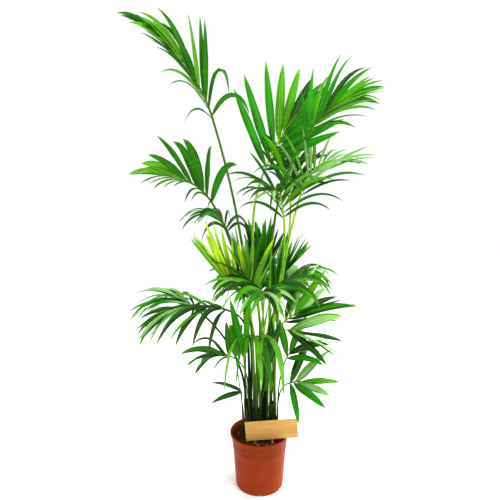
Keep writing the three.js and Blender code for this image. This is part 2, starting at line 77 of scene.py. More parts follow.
# Where each stem stands on the soil, how far its top leans, the height of its top, the radii of its top and
# its flare, and the stems whose sheaths are still green
STEMS = {
    "a": dict(x=-0.041, y=0.018, lean=(-0.006, 0.004), top=0.345, radius=0.0165, flare=0.020),
    "b": dict(x=-0.007, y=-0.026, lean=(-0.002, -0.006), top=0.330, radius=0.0165, flare=0.019),
    "c": dict(x=0.020, y=0.024, lean=(0.002, 0.006), top=0.385, radius=0.015, flare=0.018),
    "d": dict(x=0.047, y=-0.008, lean=(0.006, 0.0), top=0.350, radius=0.015, flare=0.018),
    "e": dict(x=-0.014, y=0.062, lean=(0.0, 0.010), top=0.290, radius=0.010, flare=0.013),
    "g": dict(x=0.062, y=-0.036, lean=(0.006, -0.004), top=0.280, radius=0.010, flare=0.013),
}
YOUNG_STEMS = ("d", "g")

# A kind of leaf: the leaflets' pairs, their longest length (span) and width, the angles that they open at
# from the rachis at its neck and its tip (open, close) and the power between them (fade), how far they lift
# off its sides, how far the frond rolls round its rachis, how the leaflets sag, and how much more the lowest
# may (limp). They lose a share of their length (shorten) towards the tip, and narrow to their own tips by a
# power (tip). power is that by which the rachis bends, wild is the factor on what chance does to angles and
# sag, and foot and neck_radius are the petiole's radii.
KINDS = {
    "tall": dict(
        pairs=12, span=0.290, width=0.030, open=48, close=8, fade=0.8, lift=40, roll=0, sag=0.5, limp=1,
        shorten=0.3, power=1.4, wild=0.8, foot=0.0066, neck_radius=0.0042, tip=0.85,
    ),
    "middle": dict(
        pairs=12, span=0.240, width=0.023, open=56, close=18, fade=0.8, lift=35, roll=0, sag=0.9, limp=1,
        shorten=0.3, power=1.4, wild=1, foot=0.0056, neck_radius=0.0036, tip=0.85,
    ),
    "low": dict(
        pairs=9, span=0.210, width=0.022, open=58, close=12, fade=0.8, lift=25, roll=0, sag=0.9, limp=1,
        shorten=0.3, power=1.4, wild=1, foot=0.0048, neck_radius=0.0031, tip=0.85,
    ),
    "sprig": dict(
        pairs=7, span=0.225, width=0.028, open=26, close=6, fade=0.8, lift=35, roll=0, sag=0.2, limp=0.5,
        shorten=0.2, power=1.4, wild=1, foot=0.0048, neck_radius=0.0031, tip=0.85,
    ),
    "fan": dict(
        pairs=5, span=0.205, width=0.032, open=78, close=12, fade=0.8, lift=20, roll=40, sag=0.5, limp=0.5,
        shorten=0, power=1.4, wild=1.2, foot=0.0032, neck_radius=0.0024, tip=0.75,
    ),
}

# Every leaf: its stem, the neck where petiole turns into rachis, the way it heads, the tilt from upright at
# the neck (lean) and at the tip (bend), the rachis length (blade), what differs from its kind, and its tone
# and stalk. slim is the width of the leaflets on one side over that on the other, and luck shifts the seeds.
LEAVES = [
    dict(kind="tall", stem="b", neck=(-0.175, -0.020, 1.455), azimuth=190, lean=17, bend=54, blade=0.400,
         pairs=15, open=84, close=-4, fade=0.25, span=0.265, width=0.029, slim=0.55, sag=0.6, roll=50,
         limp=4, power=1, shorten=0.4, luck=56, tone="lively", stalk="green"),
    dict(kind="tall", stem="c", neck=(0.015, 0.050, 1.270), azimuth=30, lean=26, bend=44, blade=0.280,
         pairs=7, open=56, close=0, fade=0.9, span=0.330, width=0.048, roll=64, lift=12, sag=0.12,
         shorten=0.1, wild=0.3, tip=0.7, tone="lush", stalk="bright"),
    dict(kind="tall", stem="d", neck=(0.157, -0.030, 1.380), azimuth=-18, lean=33, bend=70, blade=0.225,
         pairs=11, open=52, close=8, fade=0.6, span=0.250, width=0.027, roll=62, lift=28, sag=0.7,
         tone="fresh", stalk="green"),
    dict(kind="middle", stem="d", neck=(0.150, -0.020, 1.175), azimuth=30, lean=20, bend=85, blade=0.220,
         pairs=10, span=0.260, width=0.019, roll=35, lift=28, sag=0.7, tone="greyed", stalk="bright"),
    dict(kind="middle", stem="c", neck=(0.088, -0.050, 1.090), azimuth=250, lean=18, bend=105, blade=0.200,
         pairs=11, span=0.240, sag=1.2, wild=1.3, tone="aged", stalk="bright"),
    dict(kind="middle", stem="c", neck=(0.122, 0.060, 1.150), azimuth=110, lean=4, bend=50, blade=0.220,
         pairs=9, span=0.220, open=36, width=0.032, sag=0.5, tone="aged", stalk="bright"),
    dict(kind="tall", stem="a", neck=(-0.177, 0.0, 1.140), azimuth=172, lean=30, bend=84, blade=0.225,
         pairs=9, open=60, close=8, fade=0.9, span=0.225, width=0.040, slim=0.3, roll=42, lift=32, sag=0.8,
         power=1, wild=0.5, limp=5, shorten=0.1, tip=0.6, tone="lively", stalk="dark"),
    dict(kind="low", stem="a", neck=(-0.127, 0.060, 1.035), azimuth=150, lean=25, bend=80, blade=0.100,
         sag=1.6, tone="dark", stalk="green"),
    dict(kind="low", stem="b", neck=(-0.077, -0.040, 0.805), azimuth=188, lean=32, bend=38, blade=0.120,
         pairs=7, open=40, close=6, span=0.280, width=0.040, roll=30, sag=0.08, tone="young", stalk="bright"),
    dict(kind="middle", stem="a", neck=(-0.124, -0.040, 0.740), azimuth=188, lean=72, bend=116, blade=0.260,
         pairs=15, open=60, close=14, span=0.250, width=0.031, lift=5, sag=1.5, shorten=0.2, tone="aged",
         stalk="dark"),
    dict(kind="middle", stem="a", neck=(-0.248, 0.060, 0.710), azimuth=172, lean=52, bend=96, blade=0.120,
         pairs=11, open=40, span=0.260, width=0.029, lift=20, sag=1.4, shorten=0, tone="greyed",
         stalk="dark"),
    dict(kind="fan", stem="a", neck=(-0.113, -0.040, 0.555), azimuth=190, lean=62, bend=88, blade=0.050,
         pairs=4, width=0.038, sag=1.3, tone="shaded", stalk="dark"),
    dict(kind="fan", stem="g", neck=(0.106, 0.0, 0.530), azimuth=5, lean=25, bend=70, blade=0.050,
         pairs=3, open=54, span=0.190, width=0.038, sag=0.8, tone="mixed", stalk="dark"),
    dict(kind="fan", stem="g", neck=(0.112, -0.052, 0.450), azimuth=-20, lean=64, bend=88, blade=0.050,
         pairs=3, width=0.048, sag=0.4, tone="pale", stalk="dark"),
    dict(kind="middle", stem="b", neck=(0.012, -0.100, 0.795), azimuth=268, lean=45, bend=100, blade=0.150,
         pairs=19, open=74, close=26, span=0.260, width=0.030, sag=1.4, tone="mixed", stalk="bright"),
    dict(kind="sprig", stem="c", neck=(0.004, 0.042, 0.825), azimuth=95, lean=5, bend=35, blade=0.140,
         pairs=9, width=0.038, tone="dark", stalk="green"),
    dict(kind="sprig", stem="b", neck=(-0.040, -0.050, 0.770), azimuth=240, lean=3, bend=35, blade=0.140,
         pairs=10, span=0.240, width=0.028, tone="bright", stalk="green"),
    dict(kind="sprig", stem="d", neck=(0.062, 0.050, 0.775), azimuth=20, lean=12, bend=50, blade=0.140,
         pairs=10, span=0.220, width=0.031, tone="pale", stalk="bright"),
    dict(kind="middle", stem="d", neck=(0.098, 0.020, 0.675), azimuth=12, lean=50, bend=75, blade=0.100,
         pairs=5, open=44, close=10, span=0.260, width=0.050, roll=50, sag=0.4, tone="aged", stalk="green"),
    dict(kind="fan", stem="g", neck=(0.101, -0.050, 0.665), azimuth=-15, lean=80, bend=108, blade=0.050,
         pairs=3, span=0.230, width=0.040, open=36, sag=0.6, tone="aged", stalk="green"),
    dict(kind="middle", stem="e", neck=(-0.008, 0.145, 0.715), azimuth=115, lean=30, bend=95, blade=0.240,
         pairs=14, span=0.250, width=0.030, sag=2.0, tone="mixed", stalk="dark"),
    dict(kind="middle", stem="e", neck=(0.079, 0.120, 0.742), azimuth=45, lean=30, bend=90, blade=0.200,
         pairs=14, span=0.250, width=0.030, sag=2.0, tone="mixed", stalk="dark"),
    dict(kind="fan", stem="b", neck=(-0.022, -0.074, 0.630), azimuth=264, lean=34, bend=80, blade=0.064,
         pairs=3, open=48, close=20, span=0.290, width=0.030, slim=0.5, lift=12, roll=0, sag=8, wild=0.4,
         tone="fresh", stalk="green"),
]

# Seedling leaves rise straight from the soil and part into two broad leaflets, either side of the tilt
# called splay. Their upper sides face the azimuth called face. cut is the fraction of the leaflets' length
# at which they were trimmed.
SEEDLINGS = [
    dict(x=-0.058, y=-0.040, azimuth=180, tilt=6, neck=0.553, span=0.200, width=0.036, sag=0.05, splay=0,
         split=6, face=268, cut=0.66, tone="lively"),
    dict(x=0.026, y=-0.053, azimuth=330, tilt=2, neck=0.524, span=0.200, width=0.042, sag=0.05, splay=8,
         split=6, face=262, cut=1, tone="shaded"),
    dict(x=-0.066, y=-0.022, azimuth=184, tilt=2, neck=0.400, span=0.130, width=0.028, sag=0.5, splay=80,
         split=20, face=275, cut=1, tone="shaded"),
    dict(x=-0.024, y=-0.052, azimuth=190, tilt=1, neck=0.560, span=0.240, width=0.042, sag=0.1, splay=4,
         split=8, face=250, cut=1, tone="fresh"),
    dict(x=0.020, y=0.070, azimuth=60, tilt=8, neck=0.470, span=0.180, width=0.034, sag=0.3, splay=10,
         split=14, face=80, cut=1, tone="dark"),
]

# The seedlings' stalk radii, the power by which their leaflets narrow to the tip, their twist, how far each
# step that the solid took to stand clear moved its foot and leaned it, and the stalk's rows and sides
SEEDLING = dict(foot=0.003, tip=0.002, narrow=0.85, twist=20, shift=0.005, lean=2, rows=33, sides=10)

# The spears, leaves still rolled up, rise from the middle of a stem's top and lean towards an azimuth
SPEARS = [
    dict(stem="b", azimuth=345, lean=0.046, length=0.450),
    dict(stem="c", azimuth=345, lean=0.030, length=0.370),
]
SPEAR = dict(foot=0.0028, swell=0.0046, point=0.0002)

# How the growing rule bends each shape, and the steps that it takes
STEM = dict(ring=1.15, straight=0.020, taper=4, sunk=0.008, clasp=1.12, plain=0.35, rise=1.6)
PETIOLE = dict(points=40, rise=0.4, settle=0.3, taper=0.7, sunk=0.004, rows=49, sides=12)
RACHIS = dict(steps=40, neck=0.92, tip=0.0012, ridge=0.12, rows=31, sides=10)
LEAFLET = dict(
    steps=12, fold=25, root_fold=55, curl=1.6, wave=0.08, rib=0.0008, edge=0.0003, root=0.0018, point=0.0003,
)

# How far chance moves a leaflet from the rule: angles in degrees, and shares of its length, width and sag
VARIES = dict(open=16, lift=30, length=0.2, width=0.24, sag=1.1, twist=70)

# The gaps that limbs and leaflets keep, how near two must be to be compared, and the ways to get clear
CLEAR = dict(
    limb=0.0008, blade=0.002, near=0.04, own_end=0.03, reach=1.3, points=160, sway=0.012, sway_rounds=5,
    lift=(0, 12, -12, 26, -26),
)

# Each softbox's place and the length of its sides, and the floor
LAMPS = {
    "key": ((1.7, -2.0, 2.5), 1.6),
    "fill": ((-2.2, -1.4, 1.5), 1.4),
    "top": ((-0.2, 1.0, 3.0), 1.8),
    "side": ((2.2, 0.9, 0.7), 1.2),
}
FLOOR = dict(radius=14, rows=24, columns=64)

# The leaf materials in the order of their slots: five upper sides, and then the under side that each has
LEAF_FINISHES = ("deep", "mid", "fresh", "pale", "young", "under_deep", "under_fresh", "under_young")
UNDER_TONES = np.array([5, 5, 6, 6, 7])

# A frond's tone gives the share of its leaflets in each of the leaf materials, from darkest to lightest
TONES = {
    "dark": (0.55, 0.35, 0.10, 0.0, 0.0),
    "lively": (0.10, 0.45, 0.45, 0.0, 0.0),
    "mixed": (0.20, 0.25, 0.35, 0.20, 0.0),
    "fresh": (0.08, 0.27, 0.60, 0.05, 0.0),
    "pale": (0.10, 0.20, 0.35, 0.35, 0.0),
    "young": (0.0, 0.0, 0.25, 0.0, 0.75),
    "bright": (0.0, 0.15, 0.45, 0.0, 0.40),
    "lush": (0.10, 0.70, 0.20, 0.0, 0.0),
    "aged": (0.35, 0.10, 0.15, 0.40, 0.0),
    "greyed": (0.10, 0.10, 0.25, 0.55, 0.0),
    "shaded": (1.0, 0.0, 0.0, 0.0, 0.0),
}


def linear(code):
    """An sRGB hex value as linear red, green and blue: c/12.92 up to 0.04045, else ((c+0.055)/1.055)^2.4."""
    srgb = np.array([int(code[i:i + 2], 16) for i in (0, 2, 4)]) / 255
    return tuple(np.where(srgb <= 0.04045, srgb / 12.92, ((srgb + 0.055) / 1.055) ** 2.4))


# The growing rule


def chance(seed):
    """A repeatable number from 0 to 1: the fraction of 43758.5453 sin(12.9898 seed + 4.1414)."""
    value = np.sin(seed * 12.9898 + 4.1414) * 43758.5453
    return value - np.floor(value)


def unit(vectors):
    """Vectors divided by their lengths, along the last axis."""
    return vectors / np.linalg.norm(vectors, axis=-1, keepdims=True)


def heading(azimuth, tilt):
    """The direction tilted from upright towards an azimuth: (sin t cos a, sin t sin a, cos t)."""
    a, t = np.radians(azimuth), np.radians(tilt)
    return np.stack([np.sin(t) * np.cos(a), np.sin(t) * np.sin(a), np.cos(t) + 0 * a], -1)


def bezier(points, count):
    """A cubic Bezier curve at equal steps of t, from its four control points."""
    t = np.linspace(0, 1, count)[:, None]
    a, b, c, d = (np.asarray(p, float) for p in points)
    return (1 - t) ** 3 * a + 3 * (1 - t) ** 2 * t * b + 3 * (1 - t) * t ** 2 * c + t ** 3 * d


def lengths(points):
    """The length along a polyline at each of its points."""
    steps = np.linalg.norm(np.diff(points, axis=0), axis=1)
    return np.concatenate([[0.0], np.cumsum(steps)])


def resample(points, fractions):
    """The points of a polyline at given fractions of its length."""
    at = lengths(points)
    return np.stack([np.interp(fractions * at[-1], at, points[:, k]) for k in range(3)], -1)


def stem_top(stem):
    """The middle of a stem's top."""
    return np.array([stem["x"] + stem["lean"][0], stem["y"] + stem["lean"][1], stem["top"]])


def place_feet(leaves):
    """The petioles of one stem stand in a ring on its top, in the order of the ways that they head."""
    for name, stem in STEMS.items():
        top = stem_top(stem)
        own = [leaf for leaf in leaves if leaf["stem"] == name]
        for leaf in own:
            offset = np.array(leaf["neck"]) - top
            leaf["toward"] = np.degrees(np.arctan2(offset[1], offset[0])) % 360
        own.sort(key=lambda leaf: leaf["toward"])
        widest = max(leaf["foot"] for leaf in own)
        ring = widest / np.sin(np.pi / len(own)) * STEM["ring"] if len(own) > 1 else 0.0
        for i, leaf in enumerate(own):
            turn = np.radians(own[0]["toward"] + i * 360 / len(own))
            leaf["start"] = top + [ring * np.cos(turn), ring * np.sin(turn), GAP]


def rachis_path(leaf):
    """Points and tangents of a rachis: its tilt goes from lean to bend by a power of the length."""
    t = np.linspace(0, 1, RACHIS["steps"] + 1)
    tilt = leaf["lean"] + (leaf["bend"] - leaf["lean"]) * t ** leaf["power"]
    tangents = heading(leaf["azimuth"], tilt)
    steps = unit(tangents[1:] + tangents[:-1]) * leaf["blade"] / RACHIS["steps"]
    points = np.array(leaf["neck"]) + np.vstack([np.zeros(3), np.cumsum(steps, axis=0)])
    return points, tangents


def petiole_path(leaf, across, outward):
    """A cubic Bezier from the stem's top, upright at first, to the neck, with a bulge (4t(1-t))^2 aside."""
    start, neck = leaf["start"], np.array(leaf["neck"])
    reach = np.linalg.norm(neck - start)
    lean = heading(leaf["azimuth"], leaf["lean"])
    rise = start + UP * reach * PETIOLE["rise"]
    settle = neck - lean * reach * PETIOLE["settle"]
    points = bezier((start, rise, settle, neck - lean * GAP), PETIOLE["points"] + 1)
    t = np.linspace(0, 1, PETIOLE["points"] + 1)[:, None]
    aside = heading(leaf["toward"] + 90, 90) * across + heading(leaf["toward"], 90) * outward
    return points + aside * CLEAR["sway"] * (4 * t * (1 - t)) ** 2


def petiole_radius(leaf, t):
    """A petiole's radius at a fraction of its length."""
    return leaf["foot"] + (leaf["neck_radius"] - leaf["foot"]) * t ** PETIOLE["taper"]


def rachis_radius(leaf, t):
    """A rachis's radius at a fraction of its length."""
    neck = leaf["neck_radius"] * RACHIS["neck"]
    return neck + (RACHIS["tip"] - neck) * t


def space_between(points, radii, starts, ends, others):
    """The least distance from one limb's points to straight pieces of others, less the radii of both."""
    along = ends - starts
    t = np.einsum("psk,sk->ps", points[:, None] - starts[None], along) / np.sum(along ** 2, axis=1)
    nearest = starts + np.clip(t, 0, 1)[..., None] * along
    distance = np.linalg.norm(points[:, None] - nearest, axis=-1)
    return (distance - radii[:, None] - others[None]).min(initial=1)


def sways():
    """The ways that a petiole may sway, across and outward, the smallest first."""
    rounds = range(-CLEAR["sway_rounds"], CLEAR["sway_rounds"] + 1)
    return sorted(((a, o) for a in rounds for o in rounds), key=lambda way: np.hypot(*way))


@functools.lru_cache(maxsize=1)
def grown_leaves():
    """Every leaf with its kind's values, its rachis and its petiole, which takes the first clear sway."""
    plain = {"luck": 0, "slim": 1}
    leaves = [{**plain, **KINDS[leaf["kind"]], **leaf, "number": i + 1} for i, leaf in enumerate(LEAVES)]
    place_feet(leaves)
    limbs = []
    fractions = np.linspace(0, 1, RACHIS["steps"] + 1)
    for leaf in leaves:
        leaf["rachis"], leaf["tangents"] = rachis_path(leaf)
        limbs.append((leaf["number"], leaf["rachis"], rachis_radius(leaf, fractions)))
    for leaf in leaves:
        others = [limb for limb in limbs if limb[0] != leaf["number"]]
        starts = np.vstack([points[:-1] for _, points, _ in others])
        ends = np.vstack([points[1:] for _, points, _ in others])
        radii = np.concatenate([radius[:-1] for _, _, radius in others])
        own = petiole_radius(leaf, fractions)
        for across, outward in sways():
            path = resample(petiole_path(leaf, across, outward), fractions)
            low, high = path.min(axis=0) - CLEAR["near"], path.max(axis=0) + CLEAR["near"]
            close = ((starts > low) & (starts < high)).all(axis=1)
            if space_between(path, own, starts[close], ends[close], radii[close]) > CLEAR["limb"]:
                break
        else:
            raise ValueError(f"no clear way for the petiole of leaf {leaf['number']}")
        leaf["petiole"] = path
        limbs.append((leaf["number"], path, own))
    return leaves


def leaflet_frames(leaf):
    """For every leaflet of a frond: its base, and the directions along, beside and above the rachis there."""
    hand = np.tile([-1, 1], leaf["pairs"])
    k = np.repeat(np.arange(leaf["pairs"]), 2)
    # The leaflets of the two sides alternate along the rachis.
    along = (k + np.where(hand > 0, 0.65, 0.25)) / leaf["pairs"]
    seed = (leaf["number"] + leaf["luck"]) * 100 + k * 2 + (hand > 0)
    at = np.linspace(0, 1, RACHIS["steps"] + 1)
    base = np.stack([np.interp(along, at, leaf["rachis"][:, i]) for i in range(3)], -1)
    tangent = unit(np.stack([np.interp(along, at, leaf["tangents"][:, i]) for i in range(3)], -1))
    level = np.broadcast_to(heading(leaf["azimuth"] + 90, 90), tangent.shape)
    upper = np.cross(tangent, level)
    roll = np.radians(leaf["roll"])
    side = level * np.cos(roll) + upper * np.sin(roll)
    face = upper * np.cos(roll) - level * np.sin(roll)
    return dict(hand=hand, along=along, seed=seed, base=base, tangent=tangent, side=side, face=face)


def leaflet_shapes(leaf, frames, extra_lift):
    """Each leaflet's first direction, normal, length, width, sag and twist, from its place and its seed."""
    along, hand, seed = frames["along"], frames["hand"], frames["seed"]

    def vary(n):
        return chance(seed + 0.37 * n) - 0.5

    wild = leaf["wild"]
    spread = leaf["open"] + (leaf["close"] - leaf["open"]) * along ** leaf["fade"]
    opened = np.radians(spread + wild * VARIES["open"] * vary(2))[:, None]
    lift = leaf["lift"] * (1 - 0.5 * along) + wild * VARIES["lift"] * vary(3) + extra_lift
    lift = np.radians(lift)[:, None]
    sided = frames["side"] * hand[:, None]
    outward = sided * np.cos(lift) + frames["face"] * np.sin(lift)
    start = frames["tangent"] * np.cos(opened) + outward * np.sin(opened)
    # Leaflets are longest a third of the way along the rachis, and broadest a little farther on.
    swell = 0.74 + 0.26 * np.sin(np.pi * np.minimum(along * 1.2 + 0.1, 1))
    limp = 1 + leaf["limp"] * (1 - along) ** 6 * chance(seed + 9.1)
    turn = wild * VARIES["twist"]
    full = leaf["width"] * np.where(hand < 0, leaf["slim"], 1)
    return dict(
        start=start,
        normal=frames["face"] * np.cos(lift) - sided * np.sin(lift),
        length=leaf["span"] * swell * (1 - leaf["shorten"] * along ** 2.5) * (1 + VARIES["length"] * vary(4)),
        width=full * (0.66 + 0.34 * np.sin(np.pi * along ** 0.8)) * (1 + VARIES["width"] * vary(5)),
        sag=leaf["sag"] * (1 + wild * VARIES["sag"] * vary(6)) * limp,
        twist=np.radians(np.stack([turn * vary(7), turn * vary(8)], -1)),
    )


def half_width(u, tip):
    """A leaflet's half width over its width, at a fraction of its length: sqrt(u + 0.015) (1 - u)^tip."""
    return np.minimum(np.sqrt(u + 0.015) * np.maximum(1 - u, 0) ** tip, 0.5)


def leaflet_ribs(base, shapes):
    """Midribs that sag by a power of their length, with the sideways and upward directions along each."""
    u = np.linspace(0, 1, LEAFLET["steps"] + 1)
    drop = shapes["sag"][:, None] * u ** LEAFLET["curl"]
    along = unit(shapes["start"][:, None] - drop[..., None] * UP)
    middle = unit(along[:, 1:] + along[:, :-1]) * shapes["length"][:, None, None] / LEAFLET["steps"]
    rib = base[:, None] + np.concatenate([np.zeros((len(base), 1, 3)), np.cumsum(middle, axis=1)], axis=1)
    flat = unit(np.cross(along, shapes["normal"][:, None]))
    # A rib that sags past its normal would turn its blade over, so each step keeps to the side of the last.
    turns = np.where(np.sum(flat[:, 1:] * flat[:, :-1], axis=-1) < 0, -1, 1)
    flat[:, 1:] *= np.cumprod(turns, axis=1)[..., None]
    above = np.cross(flat, along)
    turn = (shapes["twist"][:, :1] + shapes["twist"][:, 1:] * u)[..., None]
    side = flat * np.cos(turn) - above * np.sin(turn)
    return u, rib, side, np.cross(side, along)


@functools.lru_cache(maxsize=1)
def standing_points():
    """Points on every petiole's middle line, which leaflets keep clear of, with its radius and number."""
    fractions = np.linspace(0, 1, CLEAR["points"])
    points, radii, owners = [], [], []
    for leaf in grown_leaves():
        points.append(resample(leaf["petiole"], fractions))
        radii.append(petiole_radius(leaf, fractions))
        owners.append(np.full(len(fractions), leaf["number"]))
    return np.vstack(points), np.concatenate(radii), np.concatenate(owners)


def clear_leaflets(leaf, frames):
    """The first lift at which each leaflet passes clear of the petioles, and which leaflets have one."""
    points, radii, owners = standing_points()
    away = np.linalg.norm(points - leaf["rachis"][0], axis=1)
    near = away < leaf["blade"] + leaf["span"] * CLEAR["reach"]
    own_end = (owners == leaf["number"]) & (away < CLEAR["own_end"])
    points, radii = points[near & ~own_end], radii[near & ~own_end]
    lifts = np.zeros(len(frames["seed"]))
    found = np.zeros(len(lifts), bool)
    for extra in CLEAR["lift"]:
        left = np.flatnonzero(~found)
        own = {key: value[left] for key, value in frames.items()}
        shapes = leaflet_shapes(leaf, own, float(extra))
        u, rib, side, _ = leaflet_ribs(own["base"], shapes)
        half = (shapes["width"][:, None] * half_width(u, leaf["tip"]))[..., None]
        touch = np.zeros(len(left), bool)
        # The rib and a line near each edge are tested.
        for v in (-0.8, 0, 0.8):
            sample = (rib + side * half * v)[:, 1:, None]
            distance = np.linalg.norm(sample - points, axis=-1) - radii
            touch |= distance.min(axis=(1, 2), initial=1) < CLEAR["blade"]
        lifts[left[~touch]] = extra
        found[left[~touch]] = True
    return lifts, found


# Meshes


def grid_faces(rows, columns, closed=False):
    """The quads of a grid of points, row by row, with its columns joined round if closed."""
    row = np.arange(rows - 1)[:, None] * columns
    column = np.arange(columns if closed else columns - 1)[None]
    after = (column + 1) % columns
    quads = np.stack([row + column, row + after, row + columns + after, row + columns + column], -1)
    return quads.reshape(-1, 4)


def make_piece(name, points, faces, materials, nodes=(), uvs=None, indices=None, sharp=None,
               smooth=True):
    """Puts points and quads into a mesh object that rides on the plant. A repeated corner is a triangle."""
    mesh = bpy.data.meshes.new(name)
    corners = faces.ravel()
    keep = np.ones(len(corners), bool)
    triangles = faces[:, 3] == faces[:, 2]
    keep[3::4] = ~triangles
    totals = np.where(triangles, 3, 4)
    corners = corners[keep]
    mesh.vertices.add(len(points))
    mesh.vertices.foreach_set("co", np.asarray(points, np.float32).ravel())
    mesh.loops.add(len(corners))
    mesh.loops.foreach_set("vertex_index", corners.astype(np.int32))
    mesh.polygons.add(len(faces))
    mesh.polygons.foreach_set("loop_start", np.concatenate([[0], np.cumsum(totals)[:-1]]).astype(np.int32))
    if indices is not None:
        mesh.polygons.foreach_set("material_index", indices.astype(np.int32))
    mesh.polygons.foreach_set("use_smooth", np.full(len(faces), smooth))
    if uvs is not None:
        layer = mesh.uv_layers.new(name="UVMap")
        layer.data.foreach_set("uv", np.asarray(uvs, np.float32)[corners].ravel())
    mesh.update(calc_edges=True)
    mesh.validate()
    if sharp is not None:
        pairs = np.empty(len(mesh.edges) * 2, np.int32)
        mesh.edges.foreach_get("vertices", pairs)
        flags = sharp[pairs.reshape(-1, 2)].all(axis=1)
        mesh.attributes.new("sharp_edge", "BOOLEAN", "EDGE").data.foreach_set("value", flags)
    for material in materials:
        mesh.materials.append(material)
    piece = bpy.data.objects.new(name, mesh)
    bpy.context.scene.collection.objects.link(piece)
    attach(piece, "root")
    if nodes:
        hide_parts(*nodes)
    return piece


def joined(parts):
    """Joins (points, faces, uvs, indices) parts into one set of arrays."""
    starts = np.concatenate([[0], np.cumsum([len(part[0]) for part in parts])[:-1]])
    points = np.vstack([part[0] for part in parts])
    faces = np.vstack([part[1] + start for part, start in zip(parts, starts)])
    uvs = np.vstack([part[2] for part in parts])
    indices = np.concatenate([part[3] for part in parts])
    return points, faces, uvs, indices


def tube(path, radii, sides, groove=0.0, upward=UP):
    """A closed limb: rings round a path, of radius r (1 - groove exp(-(a/0.55)^2)) at an angle a from above.

    The rings are carried by the direction that points most upward, so the groove stays on the upper side.
    """
    tangents = unit(np.gradient(path, axis=0))
    above = unit(upward - np.sum(tangents * upward, axis=1)[:, None] * tangents + 1e-9)
    beside = np.cross(tangents, above)
    angle = np.linspace(0, 2 * np.pi, sides, endpoint=False)
    away = (angle + np.pi) % (2 * np.pi) - np.pi
    dent = 1 - groove * np.exp(-(away / 0.55) ** 2)
    rise = above[:, None] * (np.cos(angle) * dent)[:, None]
    spread = beside[:, None] * (np.sin(angle) * dent)[:, None]
    points = (path[:, None] + (rise + spread) * radii[:, None, None]).reshape(-1, 3)
    faces = grid_faces(len(path), sides, closed=True)
    ends = np.vstack([path[0], path[-1]])
    first, last = len(points), len(points) + 1
    j = np.arange(sides)
    after = (j + 1) % sides
    low = np.stack([after, j, np.full(sides, first), np.full(sides, first)], -1)
    top = (len(path) - 1) * sides
    high = np.stack([top + j, top + after, np.full(sides, last), np.full(sides, last)], -1)
    along = lengths(path) / lengths(path)[-1]
    uvs = np.stack([np.tile(angle / (2 * np.pi), len(path)), np.repeat(along, sides)], -1)
    uvs = np.vstack([uvs, [[0.5, 0], [0.5, 1]]])
    return np.vstack([points, ends]), np.vstack([faces, low, high]), uvs


def cap_faces(columns, far=False):
    """The rungs that close a flat ring, whose second half runs back below its first, at either end."""
    j = np.arange(1, columns // 2 - 1)
    half = columns // 2
    rungs = np.stack([j, columns - j, columns - j - 1, j + 1], -1)
    rungs = np.vstack([rungs, [[0, columns - 1, 1, 1], [half - 1, half + 1, half, half]]])
    if not far:
        return rungs
    flipped = rungs[:, [0, 3, 2, 1]]
    flipped[-2:] = [[0, 1, columns - 1, columns - 1], [half - 1, half, half + 1, half + 1]]
    return flipped


def blades(u, rib, side, above, width, tip, tones, seed, cut=1.0):
    """Closed thin blades, one for each leaflet.

    Across each, v runs from -1 to 1. The upper face is rib + side w v cos(fold) - above w |v| sin(fold),
    waved along its edges, and the under face lies below it by a thickness that is least at the edges. The
    fold is steep at the root and eases off by (1 - u)^6.
    """
    count, rows = rib.shape[:2]
    top_v = np.array([-1, 0, 1])
    v = np.concatenate([top_v, top_v[-2:0:-1]])
    under = np.arange(len(v)) >= len(top_v)
    half = width[:, None] * half_width(u * cut, tip)
    half = np.maximum(half, np.where(u < 0.5, LEAFLET["root"], LEAFLET["point"]))
    steep = LEAFLET["root_fold"] - LEAFLET["fold"]
    fold = np.radians(LEAFLET["fold"] + steep * (1 - u) ** 6)[None, :, None]
    phase = chance(seed + 3.3)[:, None] * 2 * np.pi
    wave = np.sin(phase + u * (2 + 3 * chance(seed + 4.4)[:, None]) * np.pi) * np.sin(np.pi * u)
    height = -np.abs(v) * np.sin(fold) + LEAFLET["wave"] * (v ** 2 * np.sign(v)) * wave[..., None]
    thickness = LEAFLET["edge"] + (LEAFLET["rib"] - LEAFLET["edge"]) * (1 - np.abs(v)) ** 2
    lower = np.where(under, thickness, 0.0)
    across = half[..., None] * v * np.cos(fold)
    upward = half[..., None] * height - lower
    points = rib[:, :, None] + side[:, :, None] * across[..., None] + above[:, :, None] * upward[..., None]
    columns = len(v)
    quads = grid_faces(rows, columns, closed=True)
    faces = np.vstack([quads, cap_faces(columns), cap_faces(columns, far=True) + (rows - 1) * columns])
    every = faces[None] + (np.arange(count) * rows * columns)[:, None, None]
    below = np.zeros(len(faces), bool)
    below[:len(quads)] = quads[:, 0] % columns >= len(top_v) - 1
    indices = np.where(below[None], UNDER_TONES[tones][:, None], tones[:, None])
    grid = (rows, columns)
    uvs = np.stack([np.broadcast_to((v + 1) / 2, grid), np.broadcast_to(u[:, None], grid)], -1)
    uvs = np.broadcast_to(uvs[None], (count, rows, columns, 2))
    border = np.broadcast_to(np.abs(v) == 1, (count, rows, columns))
    return points.reshape(-1, 3), every.reshape(-1, 4), uvs.reshape(-1, 2), indices.ravel(), border.ravel()


# Materials


def add_node(tree, kind, inputs=None, stops=(), **settings):
    """Adds a shader node and makes its settings. Each named input takes a value or a link from a socket, and
    stops are the (position, colour) pairs of a colour ramp.
    """
    node = tree.nodes.new("ShaderNode" + kind)
    for name, value in settings.items():
        setattr(node, name, value)
    for name, value in (inputs or {}).items():
        socket = node.inputs[name]
        if isinstance(value, bpy.types.NodeSocket):
            tree.links.new(value, socket)
        else:
            socket.default_value = (*value, 1) if socket.type == "RGBA" else value
    if stops:
        elements = node.color_ramp.elements
        elements.remove(elements[1])
        elements[0].position, elements[0].color = stops[0][0], (*stops[0][1], 1)
        for position, colour in stops[1:]:
            elements.new(position).color = (*colour, 1)
    return node


